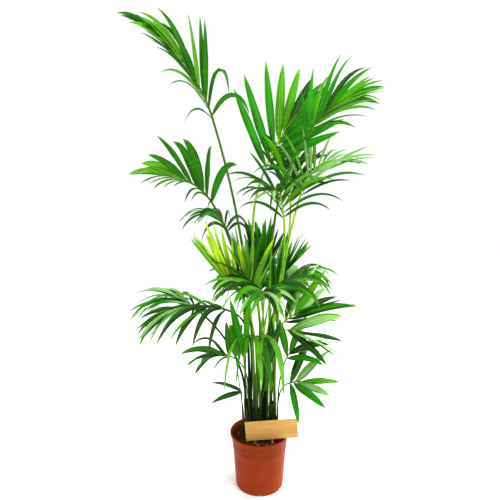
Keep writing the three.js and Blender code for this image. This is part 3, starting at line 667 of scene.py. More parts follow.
def shader(name, build, depth, **fixed):
    """A material of one Principled shader. build(tree) gives its colour, roughness and bump height sockets,
    depth is the height of the relief in metres, and fixed holds the shader's own constants.
    """
    material = bpy.data.materials.new(name)
    material.use_nodes = True
    tree = material.node_tree
    tree.nodes.clear()
    colour, roughness, height = build(tree)
    bump = add_node(tree, "Bump", {"Height": height, "Strength": 1.0, "Distance": depth})
    inputs = {"Base Color": colour, "Roughness": roughness, "Normal": bump.outputs[0]}
    inputs.update({key.replace("_", " "): value for key, value in fixed.items()})
    surface = add_node(tree, "BsdfPrincipled", inputs)
    add_node(tree, "OutputMaterial", {"Surface": surface.outputs[0]})
    return material


def scaled(colour, factor):
    """A colour made lighter or darker by a factor, within 0 to 1."""
    return tuple(min(1.0, c * factor) for c in colour)


def between(first, second, share):
    """A colour part of the way from one to another."""
    return tuple(a + (b - a) * share for a, b in zip(first, second))


def leaf_material(name, colour, rib_colour, dullness, shine):
    """Living palm leaf: a waxy skin whose parallel veins catch the light, on a colour that mottles."""
    def build(tree):
        coordinates = add_node(tree, "TexCoord")
        parts = add_node(tree, "SeparateXYZ", {0: coordinates.outputs["UV"]})
        across, along = parts.outputs[0], parts.outputs[1]
        # Real veins lie 1 mm apart, too fine to show, so three broad ones are drawn across each leaflet.
        waves = add_node(tree, "Math", {0: across, 1: 2 * np.pi * 3}, operation="MULTIPLY")
        crests = add_node(tree, "Math", {0: waves.outputs[0]}, operation="COSINE").outputs[0]
        veins = add_node(tree, "MapRange", {"Value": crests, "From Min": 0.1, "From Max": 1.0}).outputs[0]
        off = add_node(tree, "Math", {0: across, 1: 0.5}, operation="SUBTRACT").outputs[0]
        off = add_node(tree, "Math", {0: off}, operation="ABSOLUTE").outputs[0]
        rib = add_node(tree, "MapRange", {"Value": off, "From Min": 0.06, "From Max": 0.02}).outputs[0]
        # Patches of about 80 mm, as light and age mottle a leaf, drawn out along it by streaks 4 mm across.
        place = coordinates.outputs["Object"]
        patches = add_node(tree, "TexNoise", {"Vector": place, "Scale": 12.0, "Detail": 0.0}).outputs["Fac"]
        lengthwise = add_node(tree, "Mapping", {"Vector": coordinates.outputs["UV"], "Scale": (7, 0.8, 1)})
        streaks = add_node(tree, "TexNoise", {"Vector": lengthwise.outputs[0], "Scale": 1.0, "Detail": 2.0})
        mottle = add_node(tree, "Math", {0: patches, 1: streaks.outputs["Fac"]}, operation="ADD").outputs[0]
        mottle = add_node(tree, "Math", {0: mottle, 1: 0.5}, operation="MULTIPLY").outputs[0]
        # A leaflet is darker near its root, where it shades itself, and lighter towards its tip.
        light = add_node(tree, "Math", {0: along, 1: 0.3, 2: mottle}, operation="MULTIPLY_ADD").outputs[0]
        base = add_node(tree, "ValToRGB", {"Fac": light}, [
            (0.42, scaled(colour, 0.55)), (0.60, scaled(colour, 0.9)),
            (0.84, scaled(colour, 1.4))]).outputs[0]
        # The broad veins are painted lighter: a painted highlight where they catch the light.
        share = add_node(tree, "Math", {0: veins, 1: 0.5}, operation="MULTIPLY").outputs[0]
        line = scaled(colour, 2.0)
        lined = add_node(tree, "Mix", {0: share, 6: base, 7: line}, data_type="RGBA").outputs[2]
        share = add_node(tree, "Math", {0: rib, 1: 0.5}, operation="MULTIPLY").outputs[0]
        middle = between(scaled(colour, 1.6), rib_colour, 0.45)
        ribbed = add_node(tree, "Mix", {0: share, 6: lined, 7: middle}, data_type="RGBA").outputs[2]
        # The root is paler where it leaves the rachis, and the last tenth dries to a yellower green.
        ends = add_node(tree, "ValToRGB", {"Fac": along}, [
            (0.0, (0.6,) * 3), (0.1, (0,) * 3), (0.88, (0,) * 3), (1.0, (0.55,) * 3)]).outputs[0]
        final = between(scaled(colour, 1.8), rib_colour, 0.5)
        coloured = add_node(tree, "Mix", {0: ends, 6: ribbed, 7: final}, data_type="RGBA").outputs[2]
        raised = add_node(tree, "Math", {0: veins, 1: rib}, operation="ADD").outputs[0]
        rough = add_node(tree, "MapRange", {"Value": mottle, "From Min": 0.3, "From Max": 0.7,
                                            "To Min": dullness, "To Max": dullness + 0.14}).outputs[0]
        return coloured, rough, raised
    # The wax has an IOR of 1.45 and lies half under dust, so its shine is weak and broad, most on old leaves.
    return shader(name, build, 0.0007, IOR=1.45, Specular_IOR_Level=shine)


def stalk_material(name, low, middle, high):
    """Smooth green stalk: a waxy skin with streaks along it, dark near the stem and its own colour above."""
    def build(tree):
        place = add_node(tree, "TexCoord").outputs["Object"]
        height = add_node(tree, "SeparateXYZ", {0: place}).outputs[2]
        # The stops are heights in metres, and a ramp ends at 1.
        lengthwise = add_node(tree, "ValToRGB", {"Fac": height}, [
            (0.33, low), (0.46, between(low, middle, 0.5)), (0.60, middle), (0.95, middle),
            (1.0, high)]).outputs[0]
        # Fibres of about 3 mm across and 70 mm long, coarser than real ones, which would not show.
        drawn_out = add_node(tree, "Mapping", {"Vector": place, "Scale": (330, 330, 14)}).outputs[0]
        fibres = add_node(tree, "TexNoise", {"Vector": drawn_out, "Scale": 1.0, "Detail": 3.0}).outputs["Fac"]
        streaks = add_node(tree, "ValToRGB", {"Fac": fibres}, [
            (0.38, (0.5,) * 3), (0.62, (1.05,) * 3)]).outputs[0]
        coloured = add_node(tree, "Mix", {0: 1.0, 6: lengthwise, 7: streaks}, data_type="RGBA",
                            blend_type="MULTIPLY").outputs[2]
        rough = add_node(tree, "MapRange", {"Value": fibres, "To Min": 0.3, "To Max": 0.5}).outputs[0]
        return coloured, rough, fibres
    # Wax of IOR 1.45 over round fibre gives a faint, narrow light line down each stalk.
    return shader(name, build, 0.0004, IOR=1.45, Specular_IOR_Level=0.15)


def sheath_material(name, dark, middle, light):
    """Leaf sheath: dull brown fibre near the soil that turns into living green towards the top."""
    def build(tree):
        place = add_node(tree, "TexCoord").outputs["Object"]
        height = add_node(tree, "SeparateXYZ", {0: place}).outputs[2]
        # Fibres of about 3 mm across and 100 mm long, coarser than real ones, which would not show.
        drawn_out = add_node(tree, "Mapping", {"Vector": place, "Scale": (300, 300, 10)}).outputs[0]
        fibres = add_node(tree, "TexNoise", {"Vector": drawn_out, "Scale": 1.0, "Detail": 5.0,
                                             "Roughness": 0.7}).outputs["Fac"]
        # Broad patches 20 mm across and 80 mm long shift the change of colour up and down.
        broad = add_node(tree, "Mapping", {"Vector": place, "Scale": (50, 50, 12)}).outputs[0]
        broad = add_node(tree, "TexNoise", {"Vector": broad, "Scale": 1.0, "Detail": 2.0}).outputs["Fac"]
        shifted = add_node(tree, "Math", {0: broad, 1: 0.16, 2: height}, operation="MULTIPLY_ADD").outputs[0]
        zones = add_node(tree, "ValToRGB", {"Fac": shifted}, [
            (0.27, dark), (0.35, middle), (0.44, light)]).outputs[0]
        streaks = add_node(tree, "ValToRGB", {"Fac": fibres}, [
            (0.34, (0.35,) * 3), (0.66, (1.0,) * 3)]).outputs[0]
        coloured = add_node(tree, "Mix", {0: 1.0, 6: zones, 7: streaks}, data_type="RGBA",
                            blend_type="MULTIPLY").outputs[2]
        rough = add_node(tree, "MapRange", {"Value": fibres, "To Min": 0.55, "To Max": 0.85}).outputs[0]
        return coloured, rough, fibres
    # Dry fibre has an IOR of 1.5 but no wax, so it stays dull, with ridges that shade it.
    return shader(name, build, 0.0012, IOR=1.5, Specular_IOR_Level=0.1)


def pot_material(settings):
    """Moulded polypropylene: a satin skin with a faint orange peel, deeper in colour on the collar band."""
    def build(tree):
        place = add_node(tree, "TexCoord").outputs["Object"]
        parts = add_node(tree, "SeparateXYZ", {0: place})
        level = add_node(tree, "Math", {0: parts.outputs[2], 1: POT["height"]}, operation="DIVIDE").outputs[0]
        step = POT["body_top"] / POT["height"]
        wall, band = tuple(settings.wall_colour), tuple(settings.band_colour)
        # The ring line's thin bead has a painted highlight, and the flare's middle has the lip's painted
        # shade.
        ring, bead_highlight, lip = POT["ring"] / POT["height"], scaled(wall, 1.25), between(band, wall, 0.5)
        bands = add_node(tree, "ValToRGB", {"Fac": level}, [
            (step - 0.015, wall), (step + 0.02, band), (ring - 0.004, band), (ring, bead_highlight),
            (ring + 0.004, bead_highlight), (ring + 0.008, band), (ring + 0.05, lip), (0.92, band),
            (0.96, lip)]).outputs[0]
        # Scuffs and dust in patches of about 50 mm.
        patches = add_node(tree, "TexNoise", {"Vector": place, "Scale": 18.0, "Detail": 4.0}).outputs["Fac"]
        shade = add_node(tree, "ValToRGB", {"Fac": patches}, [
            (0.3, (0.84,) * 3), (0.7, (1.0,) * 3)]).outputs[0]
        coloured = add_node(tree, "Mix", {0: 1.0, 6: bands, 7: shade}, data_type="RGBA",
                            blend_type="MULTIPLY").outputs[2]
        # The mould's orange peel, 2 mm from crest to crest, drawn twice as coarse as it is.
        peel = add_node(tree, "TexNoise", {"Vector": place, "Scale": 500.0, "Detail": 1.0}).outputs["Fac"]
        rough = add_node(tree, "MapRange", {"Value": patches, "To Min": 0.3, "To Max": 0.48}).outputs[0]
        return coloured, rough, peel
    # IOR 1.49 and a roughness near 0.38 give weak, broad reflections of the lights down the wall.
    return shader("moulded_polypropylene", build, 0.0001, IOR=1.49, Specular_IOR_Level=0.1)


def soil_material(name, colour):
    """Moist peat: nearly black lumps with brown fibre in them and no shine."""
    def build(tree):
        place = add_node(tree, "TexCoord").outputs["Object"]
        # Grains of about 4 mm.
        grains = add_node(tree, "TexNoise", {"Vector": place, "Scale": 250.0, "Detail": 4.0,
                                             "Roughness": 0.7}).outputs["Fac"]
        coloured = add_node(tree, "ValToRGB", {"Fac": grains}, [
            (0.35, scaled(colour, 0.35)), (0.6, colour), (0.78, scaled(colour, 4.2))]).outputs[0]
        rough = add_node(tree, "MapRange", {"Value": grains, "To Min": 0.8, "To Max": 1.0}).outputs[0]
        return coloured, rough, grains
    # Wet crumbs have water's IOR of 1.33 and scatter all light.
    return shader(name, build, 0.003, IOR=1.33, Specular_IOR_Level=0.1)


def pine_material(settings):
    """Planed pine: growth rings cut lengthwise show as fine lines of grain along the board."""
    def build(tree):
        place = add_node(tree, "TexCoord").outputs["Object"]
        turn = (0, np.radians(LABEL["turn"]), 0)
        turned = add_node(tree, "Mapping", {"Vector": place, "Rotation": turn}).outputs[0]
        # Grain lines 4 mm apart and 200 mm long, twice as coarse as real ones, and tints 40 mm across.
        fine = add_node(tree, "Mapping", {"Vector": turned, "Scale": (5, 60, 240)}).outputs[0]
        lines = add_node(tree, "TexNoise", {"Vector": fine, "Scale": 1.0, "Detail": 4.0}).outputs["Fac"]
        wide = add_node(tree, "Mapping", {"Vector": turned, "Scale": (6, 20, 25)}).outputs[0]
        broad = add_node(tree, "TexNoise", {"Vector": wide, "Scale": 1.0, "Detail": 2.0}).outputs["Fac"]
        light, grain = tuple(settings.wood_colour), tuple(settings.grain_colour)
        lined = add_node(tree, "ValToRGB", {"Fac": lines}, [(0.34, grain), (0.6, light)]).outputs[0]
        shade = add_node(tree, "ValToRGB", {"Fac": broad}, [
            (0.3, (0.84, 0.82, 0.8)), (0.7, (1.0,) * 3)]).outputs[0]
        coloured = add_node(tree, "Mix", {0: 1.0, 6: lined, 7: shade}, data_type="RGBA",
                            blend_type="MULTIPLY").outputs[2]
        rough = add_node(tree, "MapRange", {"Value": lines, "To Min": 0.5, "To Max": 0.7}).outputs[0]
        return coloured, rough, lines
    # Bare planed wood, IOR 1.53, has a dry sheen and grain that only just catches the light.
    return shader("planed_pine", build, 0.0002, IOR=1.53, Specular_IOR_Level=0.15)


def dry_material(name, colour):
    """Dry plant fibre: a dull straw colour that mottles over its length."""
    def build(tree):
        place = add_node(tree, "TexCoord").outputs["Object"]
        # Patches of about 8 mm, where the fibre is stained.
        patches = add_node(tree, "TexNoise", {"Vector": place, "Scale": 120.0, "Detail": 2.0}).outputs["Fac"]
        coloured = add_node(tree, "ValToRGB", {"Fac": patches}, [
            (0.3, scaled(colour, 0.45)), (0.7, colour)]).outputs[0]
        rough = add_node(tree, "MapRange", {"Value": patches, "To Min": 0.6, "To Max": 0.9}).outputs[0]
        return coloured, rough, patches
    # Cellulose has an IOR of 1.53 and here no polish at all.
    return shader(name, build, 0.0003, IOR=1.53, Specular_IOR_Level=0.2)


def paper_material(colour):
    """Matt backdrop paper: even and pale, with a faint mottling."""
    def build(tree):
        place = add_node(tree, "TexCoord").outputs["Object"]
        # Clouds of about 300 mm, hardly darker than the paper.
        patches = add_node(tree, "TexNoise", {"Vector": place, "Scale": 3.0, "Detail": 2.0}).outputs["Fac"]
        coloured = add_node(tree, "ValToRGB", {"Fac": patches}, [(0.3, scaled(colour, 0.99)), (0.7, colour)])
        rough = add_node(tree, "MapRange", {"Value": patches, "To Min": 0.9, "To Max": 0.95}).outputs[0]
        return coloured.outputs[0], rough, patches
    # Paper of IOR 1.5 that is too rough to mirror anything.
    return shader("matt_paper", build, 0.0001, IOR=1.5, Specular_IOR_Level=0.1)


@functools.lru_cache(maxsize=1)
def leaf_materials():
    """The leaf materials in the order of LEAF_FINISHES. Under sides have less wax and are duller."""
    settings = bpy.context.scene.palm_leaves
    rib = tuple(settings.rib_colour)
    made = []
    for finish in LEAF_FINISHES:
        dullness = 0.5 if finish.startswith("under") else 0.34
        shine = 0.32 if finish in ("deep", "pale") else 0.16
        colour = tuple(getattr(settings, finish + "_colour"))
        made.append(leaf_material("leaf_" + finish, colour, rib, dullness, shine))
    return made


@functools.lru_cache(maxsize=1)
def stalk_materials():
    """The stalks' materials by name, from dark feet to the colour that each has above."""
    settings = bpy.context.scene.palm_stalks
    foot, bright, green, dark = (
        tuple(getattr(settings, key + "_colour")) for key in ("foot", "bright", "green", "dark"))
    return {
        "bright": stalk_material("stalk_bright", foot, between(green, bright, 0.5), bright),
        "green": stalk_material("stalk_green", foot, green, between(green, dark, 0.65)),
        "dark": stalk_material("stalk_dark", foot, dark, between(dark, green, 0.3)),
    }


# What a user may change


def colour_property(name, code, description):
    """A colour with an sRGB hex default."""
    return FloatVectorProperty(name=name, description=description, default=linear(code), subtype="COLOR",
                               size=3, min=0, max=1)


def length_property(name, default, description):
    """A length in metres."""
    return FloatProperty(name=name, description=description, default=default, min=0, unit="LENGTH",
                         subtype="DISTANCE", precision=4)


def power_property(name, default, description):
    """A lamp's power in watts."""
    return FloatProperty(name=name, description=description, default=default, min=0, unit="POWER")


class PalmPotSettings(PropertyGroup):
    """Sizes and colours of the nursery pot."""

    rim_radius: length_property("Rim radius", POT["rim"], "Radius of the pot's rim")
    height: length_property("Height", POT["height"], "Height of the pot")
    columns: IntProperty(name="Columns", description="Faces round the pot", default=180, min=24, max=720)
    wall_colour: colour_property("Wall", "9a3e1a", "Plastic of the lower wall and the lip")
    band_colour: colour_property("Band", "8a3a02", "Plastic of the collar band")


class PalmSoilSettings(PropertyGroup):
    """Colours and crumbs of the potting soil."""

    crumbs: IntProperty(name="Crumbs", description="Lumps that lie on the soil", default=900, min=0)
    threads: IntProperty(name="Root threads", description="Pale bits of root on the soil", default=70, min=0)
    crumb_size: length_property("Crumb size", 0.0026, "Radius of a middling crumb")
    peat_colour: colour_property("Peat", "6a3c20", "Moist peat")
    root_colour: colour_property("Roots", "d9cdb8", "Pale root threads")


class PalmLabelSettings(PropertyGroup):
    """The blank wooden board on its stick."""

    corner: length_property("Corner radius", 0.0015, "Rounding of the board's corners")
    edge: length_property("Edge radius", 0.0005, "Rounding of the board's edges")
    wood_colour: colour_property("Wood", "d6ab68", "Pale wood between the lines of grain")
    grain_colour: colour_property("Grain", "c99d5c", "Lines of grain")


class PalmStemSettings(PropertyGroup):
    """The sheathed stems of the clump."""

    overlap: length_property("Sheath overlap", 0.0012, "Step at the edge of one sheath over the next")
    fibres: IntProperty(name="Fibres", description="Loose strips on each stem", default=14, min=0)
    brown_colour: colour_property("Brown sheath", "2a1c08", "Old sheaths near the soil")
    olive_colour: colour_property("Olive sheath", "24400a", "Living part of the sheaths")
    green_colour: colour_property("Green sheath", "44700e", "Young sheaths")
    flaps: IntProperty(name="Flaps", description="Torn sheaths on each stem", default=2, min=0)
    fibre_colour: colour_property("Fibre", "6e5c36", "Dry strips torn from the sheaths")


class PalmStalkSettings(PropertyGroup):
    """The petioles and rachises."""

    groove: FloatProperty(name="Groove", description="Depth of the groove over the radius", default=0.22,
                          min=0, max=0.6, subtype="FACTOR")
    bright_colour: colour_property("Bright stalk", "a2cf16", "Young stalks in full light")
    green_colour: colour_property("Green stalk", "6cbc14", "Most stalks")
    dark_colour: colour_property("Dark stalk", "2b470c", "Older stalks")
    foot_colour: colour_property("Stalk foot", "1c3a06", "Foot of every stalk")


class PalmLeafSettings(PropertyGroup):
    """The leaflets of the fronds and the seedling leaves."""

    fullness: FloatProperty(name="Width", description="Factor on every leaflet's width", default=1.0,
                            min=0.2, max=2)
    deep_colour: colour_property("Deep", "164a06", "Oldest, darkest leaflets")
    mid_colour: colour_property("Middle", "25860a", "Most leaflets")
    fresh_colour: colour_property("Fresh", "4f9c0e", "Lively leaflets")
    pale_colour: colour_property("Pale", "86b86c", "Greyish leaflets")
    young_colour: colour_property("Young", "b0d814", "Yellow-green young leaflets")
    under_deep_colour: colour_property("Under deep", "2a7010", "Under side of dark leaflets")
    under_fresh_colour: colour_property("Under fresh", "62a22e", "Under side of lively leaflets")
    under_young_colour: colour_property("Under young", "b0d82c", "Under side of young leaflets")
    rib_colour: colour_property("Rib", "b4d32c", "Midribs, roots and tips")


class PalmStageSettings(PropertyGroup):
    """Camera, lights and floor."""

    camera_place: FloatVectorProperty(name="Camera", description="Where the camera stands",
                                      default=(-0.039, -1.711, 1.194), subtype="TRANSLATION")
    camera_pitch: FloatProperty(name="Pitch", description="Angle that the camera looks down by",
                                default=np.radians(7.46), subtype="ANGLE")
    lens: FloatProperty(name="Lens", description="Focal length in millimetres", default=32.0, min=10,
                        unit="CAMERA")
    sky: FloatProperty(name="Sky", description="Strength of the white surroundings", default=1.0, min=0)
    key: power_property("Key light", 48, "Power of the main softbox")
    fill: power_property("Fill light", 12, "Power of the softbox at the left")
    top: power_property("Top light", 20, "Power of the overhead softbox")
    side: power_property("Side light", 60, "Power of the low softbox at the right")
    contrast: FloatProperty(name="Tone curve", description="Gamma of the view, below 1 for deeper tones",
                            default=0.85, min=0.5, max=1.5)
    floor_colour: colour_property("Floor", "ffffff", "Pale studio floor")


GROUPS = {
    "palm_pot": PalmPotSettings,
    "palm_soil": PalmSoilSettings,
    "palm_label": PalmLabelSettings,
    "palm_stems": PalmStemSettings,
    "palm_stalks": PalmStalkSettings,
    "palm_leaves": PalmLeafSettings,
    "palm_stage": PalmStageSettings,
}


# Pieces


def arc(centre, radius, first, last, count):
    """Points (r, z) on an arc of a profile, from one angle to another in degrees."""
    angle = np.radians(np.linspace(first, last, count))
    return np.stack([centre[0] + radius * np.cos(angle), centre[1] + radius * np.sin(angle)], -1)


def spin(profile, angles):
    """Turns a profile of (r, z) points round the axis: (r cos a, r sin a, z), one column for each angle."""
    r, z = profile[:, 0][:, None], profile[:, 1][:, None]
    return np.stack([r * np.cos(angles), r * np.sin(angles), z + 0 * angles], -1)


def pot_profile():
    """The pot's outline from the middle of its underside, up its outside, over the lip and down inside.

    The flare under the lip widens by the power 1.7 of its height.
    """
    foot, body, collar, rim = POT["foot"], POT["body"], POT["collar"], POT["rim"]
    top, ring, flare, lip = POT["body_top"], POT["ring"], POT["flare_foot"], POT["lip"]
    wall, floor, height = POT["wall"], POT["floor"], POT["height"]
    inner_foot = foot - wall + 0.0007
    z = np.linspace(0, 1, 9)[:, None]
    flared = np.hstack([
        collar + 0.0012 + (rim - collar - 0.0012) * z ** 1.7,
        flare - 0.003 + (lip + 0.003 - flare) * z,
    ])
    inside = np.hstack([
        collar - wall / 2 + (rim - collar - 0.0035) * (1 - z) ** 1.7,
        flare + (height - 0.001 - flare) * (1 - z),
    ])
    return np.vstack([
        [[0, 0], [foot - 0.0075, 0], [foot - 0.0070, 0]],
        arc((foot - 0.002, 0.002), 0.002, -90, 0, 5),
        [[foot + 0.0004, NOTCH["height"]], [foot + 0.0005, NOTCH["height"] + 0.0005]],
        [[body - 0.002, top - 0.028], [body, top]],
        [[body + 0.0003, top + 0.0008], [body + 0.0014, top + 0.0018], [body + 0.0016, top + 0.003]],
        [[collar - 0.0005, ring - 0.0016]],
        arc((collar - 0.0003, ring), 0.0011, -70, 70, 5),
        [[collar, ring + 0.002], [collar + 0.0004, ring + 0.006]],
        flared,
        arc((rim - 0.0022, height - 0.0022), 0.0022, 0, 90, 5),
        arc((rim - 0.0034, height - 0.0016), 0.0016, 90, 170, 4),
        inside[1:],
        [[body - wall, top], [inner_foot, floor], [0, floor]],
    ])


class PALM_OT_pot(Operator):
    """Builds the round pot with its lip, ring line, collar and drain notches"""

    bl_idname = "palm.pot"
    bl_label = "Build pot"

    def execute(self, context):
        settings = context.scene.palm_pot
        profile = pot_profile()
        half_notch = NOTCH["width"] / 2 / POT["foot"]
        centres = (np.arange(NOTCH["count"]) + 0.5) / NOTCH["count"] * 2 * np.pi
        edges = [c + side * (half_notch + step)
                 for c in centres for side in (-1, 1) for step in (-0.0003, 0.0003)]
        even = np.linspace(0, 2 * np.pi, settings.columns, endpoint=False)
        angles = np.sort(np.concatenate([even, np.array(edges) % (2 * np.pi)]))
        points = spin(profile, angles)
        off = np.abs((angles[None] - centres[:, None] + np.pi) % (2 * np.pi) - np.pi).min(axis=0)
        cut = (off < half_notch)[None] & (profile[:, 0] > POT["foot"] - NOTCH["depth"] - 0.0001)[:, None]
        # The notches cut only the foot, which is the first rows of the outline.
        cut &= (np.arange(len(profile)) < NOTCH["rows"])[:, None]
        points[..., 2] = np.where(cut, np.maximum(points[..., 2], NOTCH["height"]), points[..., 2])
        points *= [settings.rim_radius / POT["rim"]] * 2 + [settings.height / POT["height"]]
        rows, columns = len(profile), len(angles)
        faces = grid_faces(rows, columns, closed=True)
        points, faces = close_poles(points.reshape(-1, 3), faces, rows, columns)
        piece = make_piece("nursery_pot", points, faces, [pot_material(settings)], ["pot"])
        sharpen(piece, 50)
        return {"FINISHED"}


def close_poles(points, faces, rows, columns, far=True):
    """Merges the first row of a turned grid, which lies on the axis, into one point, and the last if far."""
    last = (rows - 1) * columns
    faces = np.where(faces < columns, 0, faces)
    faces = np.where((faces >= last) & far, last, faces)
    order = np.where((faces[:, 0] == faces[:, 1])[:, None], faces[:, [1, 2, 3, 3]], faces)
    order = np.where((faces[:, 2] == faces[:, 3])[:, None], faces[:, [0, 1, 2, 2]], order)
    used = np.unique(order)
    renumber = np.zeros(len(points), int)
    renumber[used] = np.arange(len(used))
    return points[used], renumber[order]


def sharpen(piece, degrees):
    """Marks the edges between faces that meet at more than an angle as sharp."""
    piece.data.set_sharp_from_angle(angle=np.radians(degrees))


def soil_height(x, y):
    """The soil's lumpy top: sines in x and y of three lengths, less 0.12 (x^2 + y^2) towards the wall."""
    waves = np.sin(70 * x + 1) * np.sin(80 * y + 2) + 0.6 * np.sin(190 * x + 3) * np.sin(170 * y)
    waves = waves + 0.4 * np.sin(410 * x + 40 * y) * np.sin(370 * y + 1)
    return SOIL_TOP - 0.003 + 0.0018 * waves - 0.12 * (x ** 2 + y ** 2)


class PALM_OT_soil(Operator):
    """Builds the soil with its crumbs and pale root threads"""

    bl_idname = "palm.soil"
    bl_label = "Build soil"

    def execute(self, context):
        settings = context.scene.palm_soil
        angles = np.linspace(0, 2 * np.pi, 96, endpoint=False)
        wide = POT["collar"] - 0.0003
        under = np.array([[0, POT["floor"] + GAP], [POT["foot"] - POT["wall"] - GAP, POT["floor"] + GAP],
                          [POT["body"] - POT["wall"] - 0.001, POT["body_top"]], [wide, SOIL_TOP - 0.006]])
        top = np.stack([np.linspace(wide, 0, 40), np.full(40, SOIL_TOP)], -1)
        profile = np.vstack([under, top])
        points = spin(profile, angles)
        crown = np.arange(len(profile)) >= len(under)
        points[crown, :, 2] = soil_height(points[crown, :, 0], points[crown, :, 1])
        faces = grid_faces(len(profile), len(angles), closed=True)
        points, faces = close_poles(points.reshape(-1, 3), faces, len(profile), len(angles))
        peat = soil_material("moist_peat", tuple(settings.peat_colour))
        make_piece("soil_bed", points, faces, [peat], ["soil"])
        self.scatter_crumbs(settings, peat, wide)
        self.lay_threads(settings, wide)
        return {"FINISHED"}

    def scatter_crumbs(self, settings, peat, wide):
        """Eight-faced lumps, pushed about at their corners, lie half sunk in the top."""
        draw = np.random.default_rng(11)
        count = settings.crumbs
        r = wide * 0.97 * np.sqrt(draw.random(count))
        a = draw.random(count) * 2 * np.pi
        size = settings.crumb_size * draw.lognormal(0, 0.45, count).clip(0.4, 2.4)
        x, y = r * np.cos(a), r * np.sin(a)
        centres = np.stack([x, y, soil_height(x, y) + 0.2 * size], -1)
        corners = np.array([[1, 0, 0], [0, 1, 0], [-1, 0, 0], [0, -1, 0], [0, 0, 0.8], [0, 0, -0.8]])
        lumps = corners * draw.uniform(0.6, 1.3, (count, 6, 1)) + draw.uniform(-0.2, 0.2, (count, 6, 3))
        points = centres[:, None] + lumps * size[:, None, None]
        sides = np.array([[0, 1, 4, 4], [1, 2, 4, 4], [2, 3, 4, 4], [3, 0, 4, 4],
                          [1, 0, 5, 5], [2, 1, 5, 5], [3, 2, 5, 5], [0, 3, 5, 5]])
        faces = (sides + np.arange(count)[:, None, None] * 6).reshape(-1, 4)
        make_piece("soil_crumbs", points.reshape(-1, 3), faces, [peat], smooth=False)

    def lay_threads(self, settings, wide):
        """Short threads of root lie on the top, each a thin tube that bends by a parabola of its length."""
        draw = np.random.default_rng(5)
        parts = []
        for _ in range(settings.threads):
            r = wide * 0.9 * np.sqrt(draw.random())
            a = draw.random() * 2 * np.pi
            turn = draw.random() * 2 * np.pi
            length = draw.uniform(0.008, 0.028)
            t = np.linspace(-0.5, 0.5, 9)
            bend = draw.uniform(-0.5, 0.5) * length * (t ** 2 - 0.25) * 2
            x = r * np.cos(a) + length * t * np.cos(turn) - bend * np.sin(turn)
            y = r * np.sin(a) + length * t * np.sin(turn) + bend * np.cos(turn)
            z = soil_height(x, y) + 0.0016 + 0.002 * draw.random() * (1 - 4 * t ** 2)
            if np.hypot(x, y).max() < wide:
                path = np.stack([x, y, z], -1)
                points, faces, uvs = tube(path, 0.0007 * (1 - 1.2 * t ** 2), 5, upward=np.array([0.0, 0, 1]))
                parts.append((points, faces, uvs, np.zeros(len(faces), int)))
        points, faces, uvs, _ = joined(parts)
        roots = dry_material("dry_root_threads", tuple(settings.root_colour))
        make_piece("soil_root_threads", points, faces, [roots], uvs=uvs)


class PALM_OT_label(Operator):
    """Builds the blank wooden board on its stick"""

    bl_idname = "palm.label"
    bl_label = "Build label"

    def execute(self, context):
        settings = context.scene.palm_label
        pine = pine_material(settings)
        board = rounded_slab(
            LABEL["width"], LABEL["height"], LABEL["thickness"], settings.corner, settings.edge)
        turn = np.radians(-LABEL["turn"])
        x, z = board[0][:, 0].copy(), board[0][:, 2].copy()
        board[0][:, 0] = x * np.cos(turn) + z * np.sin(turn) + LABEL["x"]
        board[0][:, 2] = z * np.cos(turn) - x * np.sin(turn) + LABEL["z"]
        board[0][:, 1] += LABEL["y"]
        piece = make_piece("label_board", board[0], board[1], [pine], ["label"])
        sharpen(piece, 40)
        tall = STICK["top"] - STICK["foot"]
        stick = rounded_slab(STICK["width"], tall, STICK["thickness"], STICK["corner"], STICK["edge"])
        behind = (LABEL["thickness"] + STICK["thickness"]) / 2
        stick[0][:] += [STICK["x"], LABEL["y"] + behind, (STICK["top"] + STICK["foot"]) / 2]
        piece = make_piece("label_stick", stick[0], stick[1], [pine], ["label"])
        sharpen(piece, 40)
        return {"FINISHED"}


def rounded_slab(width, height, thickness, corner, edge):
    """A slab in the XZ plane: rings of a rounded rectangle, drawn in by the edge radius at both faces."""
    centres = np.array([[1, -1], [1, 1], [-1, 1], [-1, -1]]) * [width / 2 - corner, height / 2 - corner]
    angle = np.radians(np.linspace(0, 90, 5))
    starts = np.radians([-90, 0, 90, 180])
    turned = starts[:, None] + angle
    away = np.stack([np.cos(turned), np.sin(turned)], -1)
    flank = 0.5 - edge / thickness
    rings = []
    for inset, depth in ((edge, -0.5), (0, -flank), (0, flank), (edge, 0.5)):
        ring = (centres[:, None] + away * (corner - inset)).reshape(-1, 2)
        rings.append(np.stack([ring[:, 0], np.full(len(ring), depth * thickness), ring[:, 1]], -1))
    points = np.vstack([[[0, -thickness / 2, 0]], *rings, [[0, thickness / 2, 0]]])
    count = len(rings[0])
    j = np.arange(count)
    after = (j + 1) % count
    front = np.stack([j + 1, after + 1, 0 * j, 0 * j], -1)
    sides = grid_faces(4, count, closed=True)[:, [3, 2, 1, 0]] + 1
    last = 1 + 3 * count
    back = np.stack([last + after, last + j, 0 * j + last + count, 0 * j + last + count], -1)
    return points, np.vstack([front, sides, back])


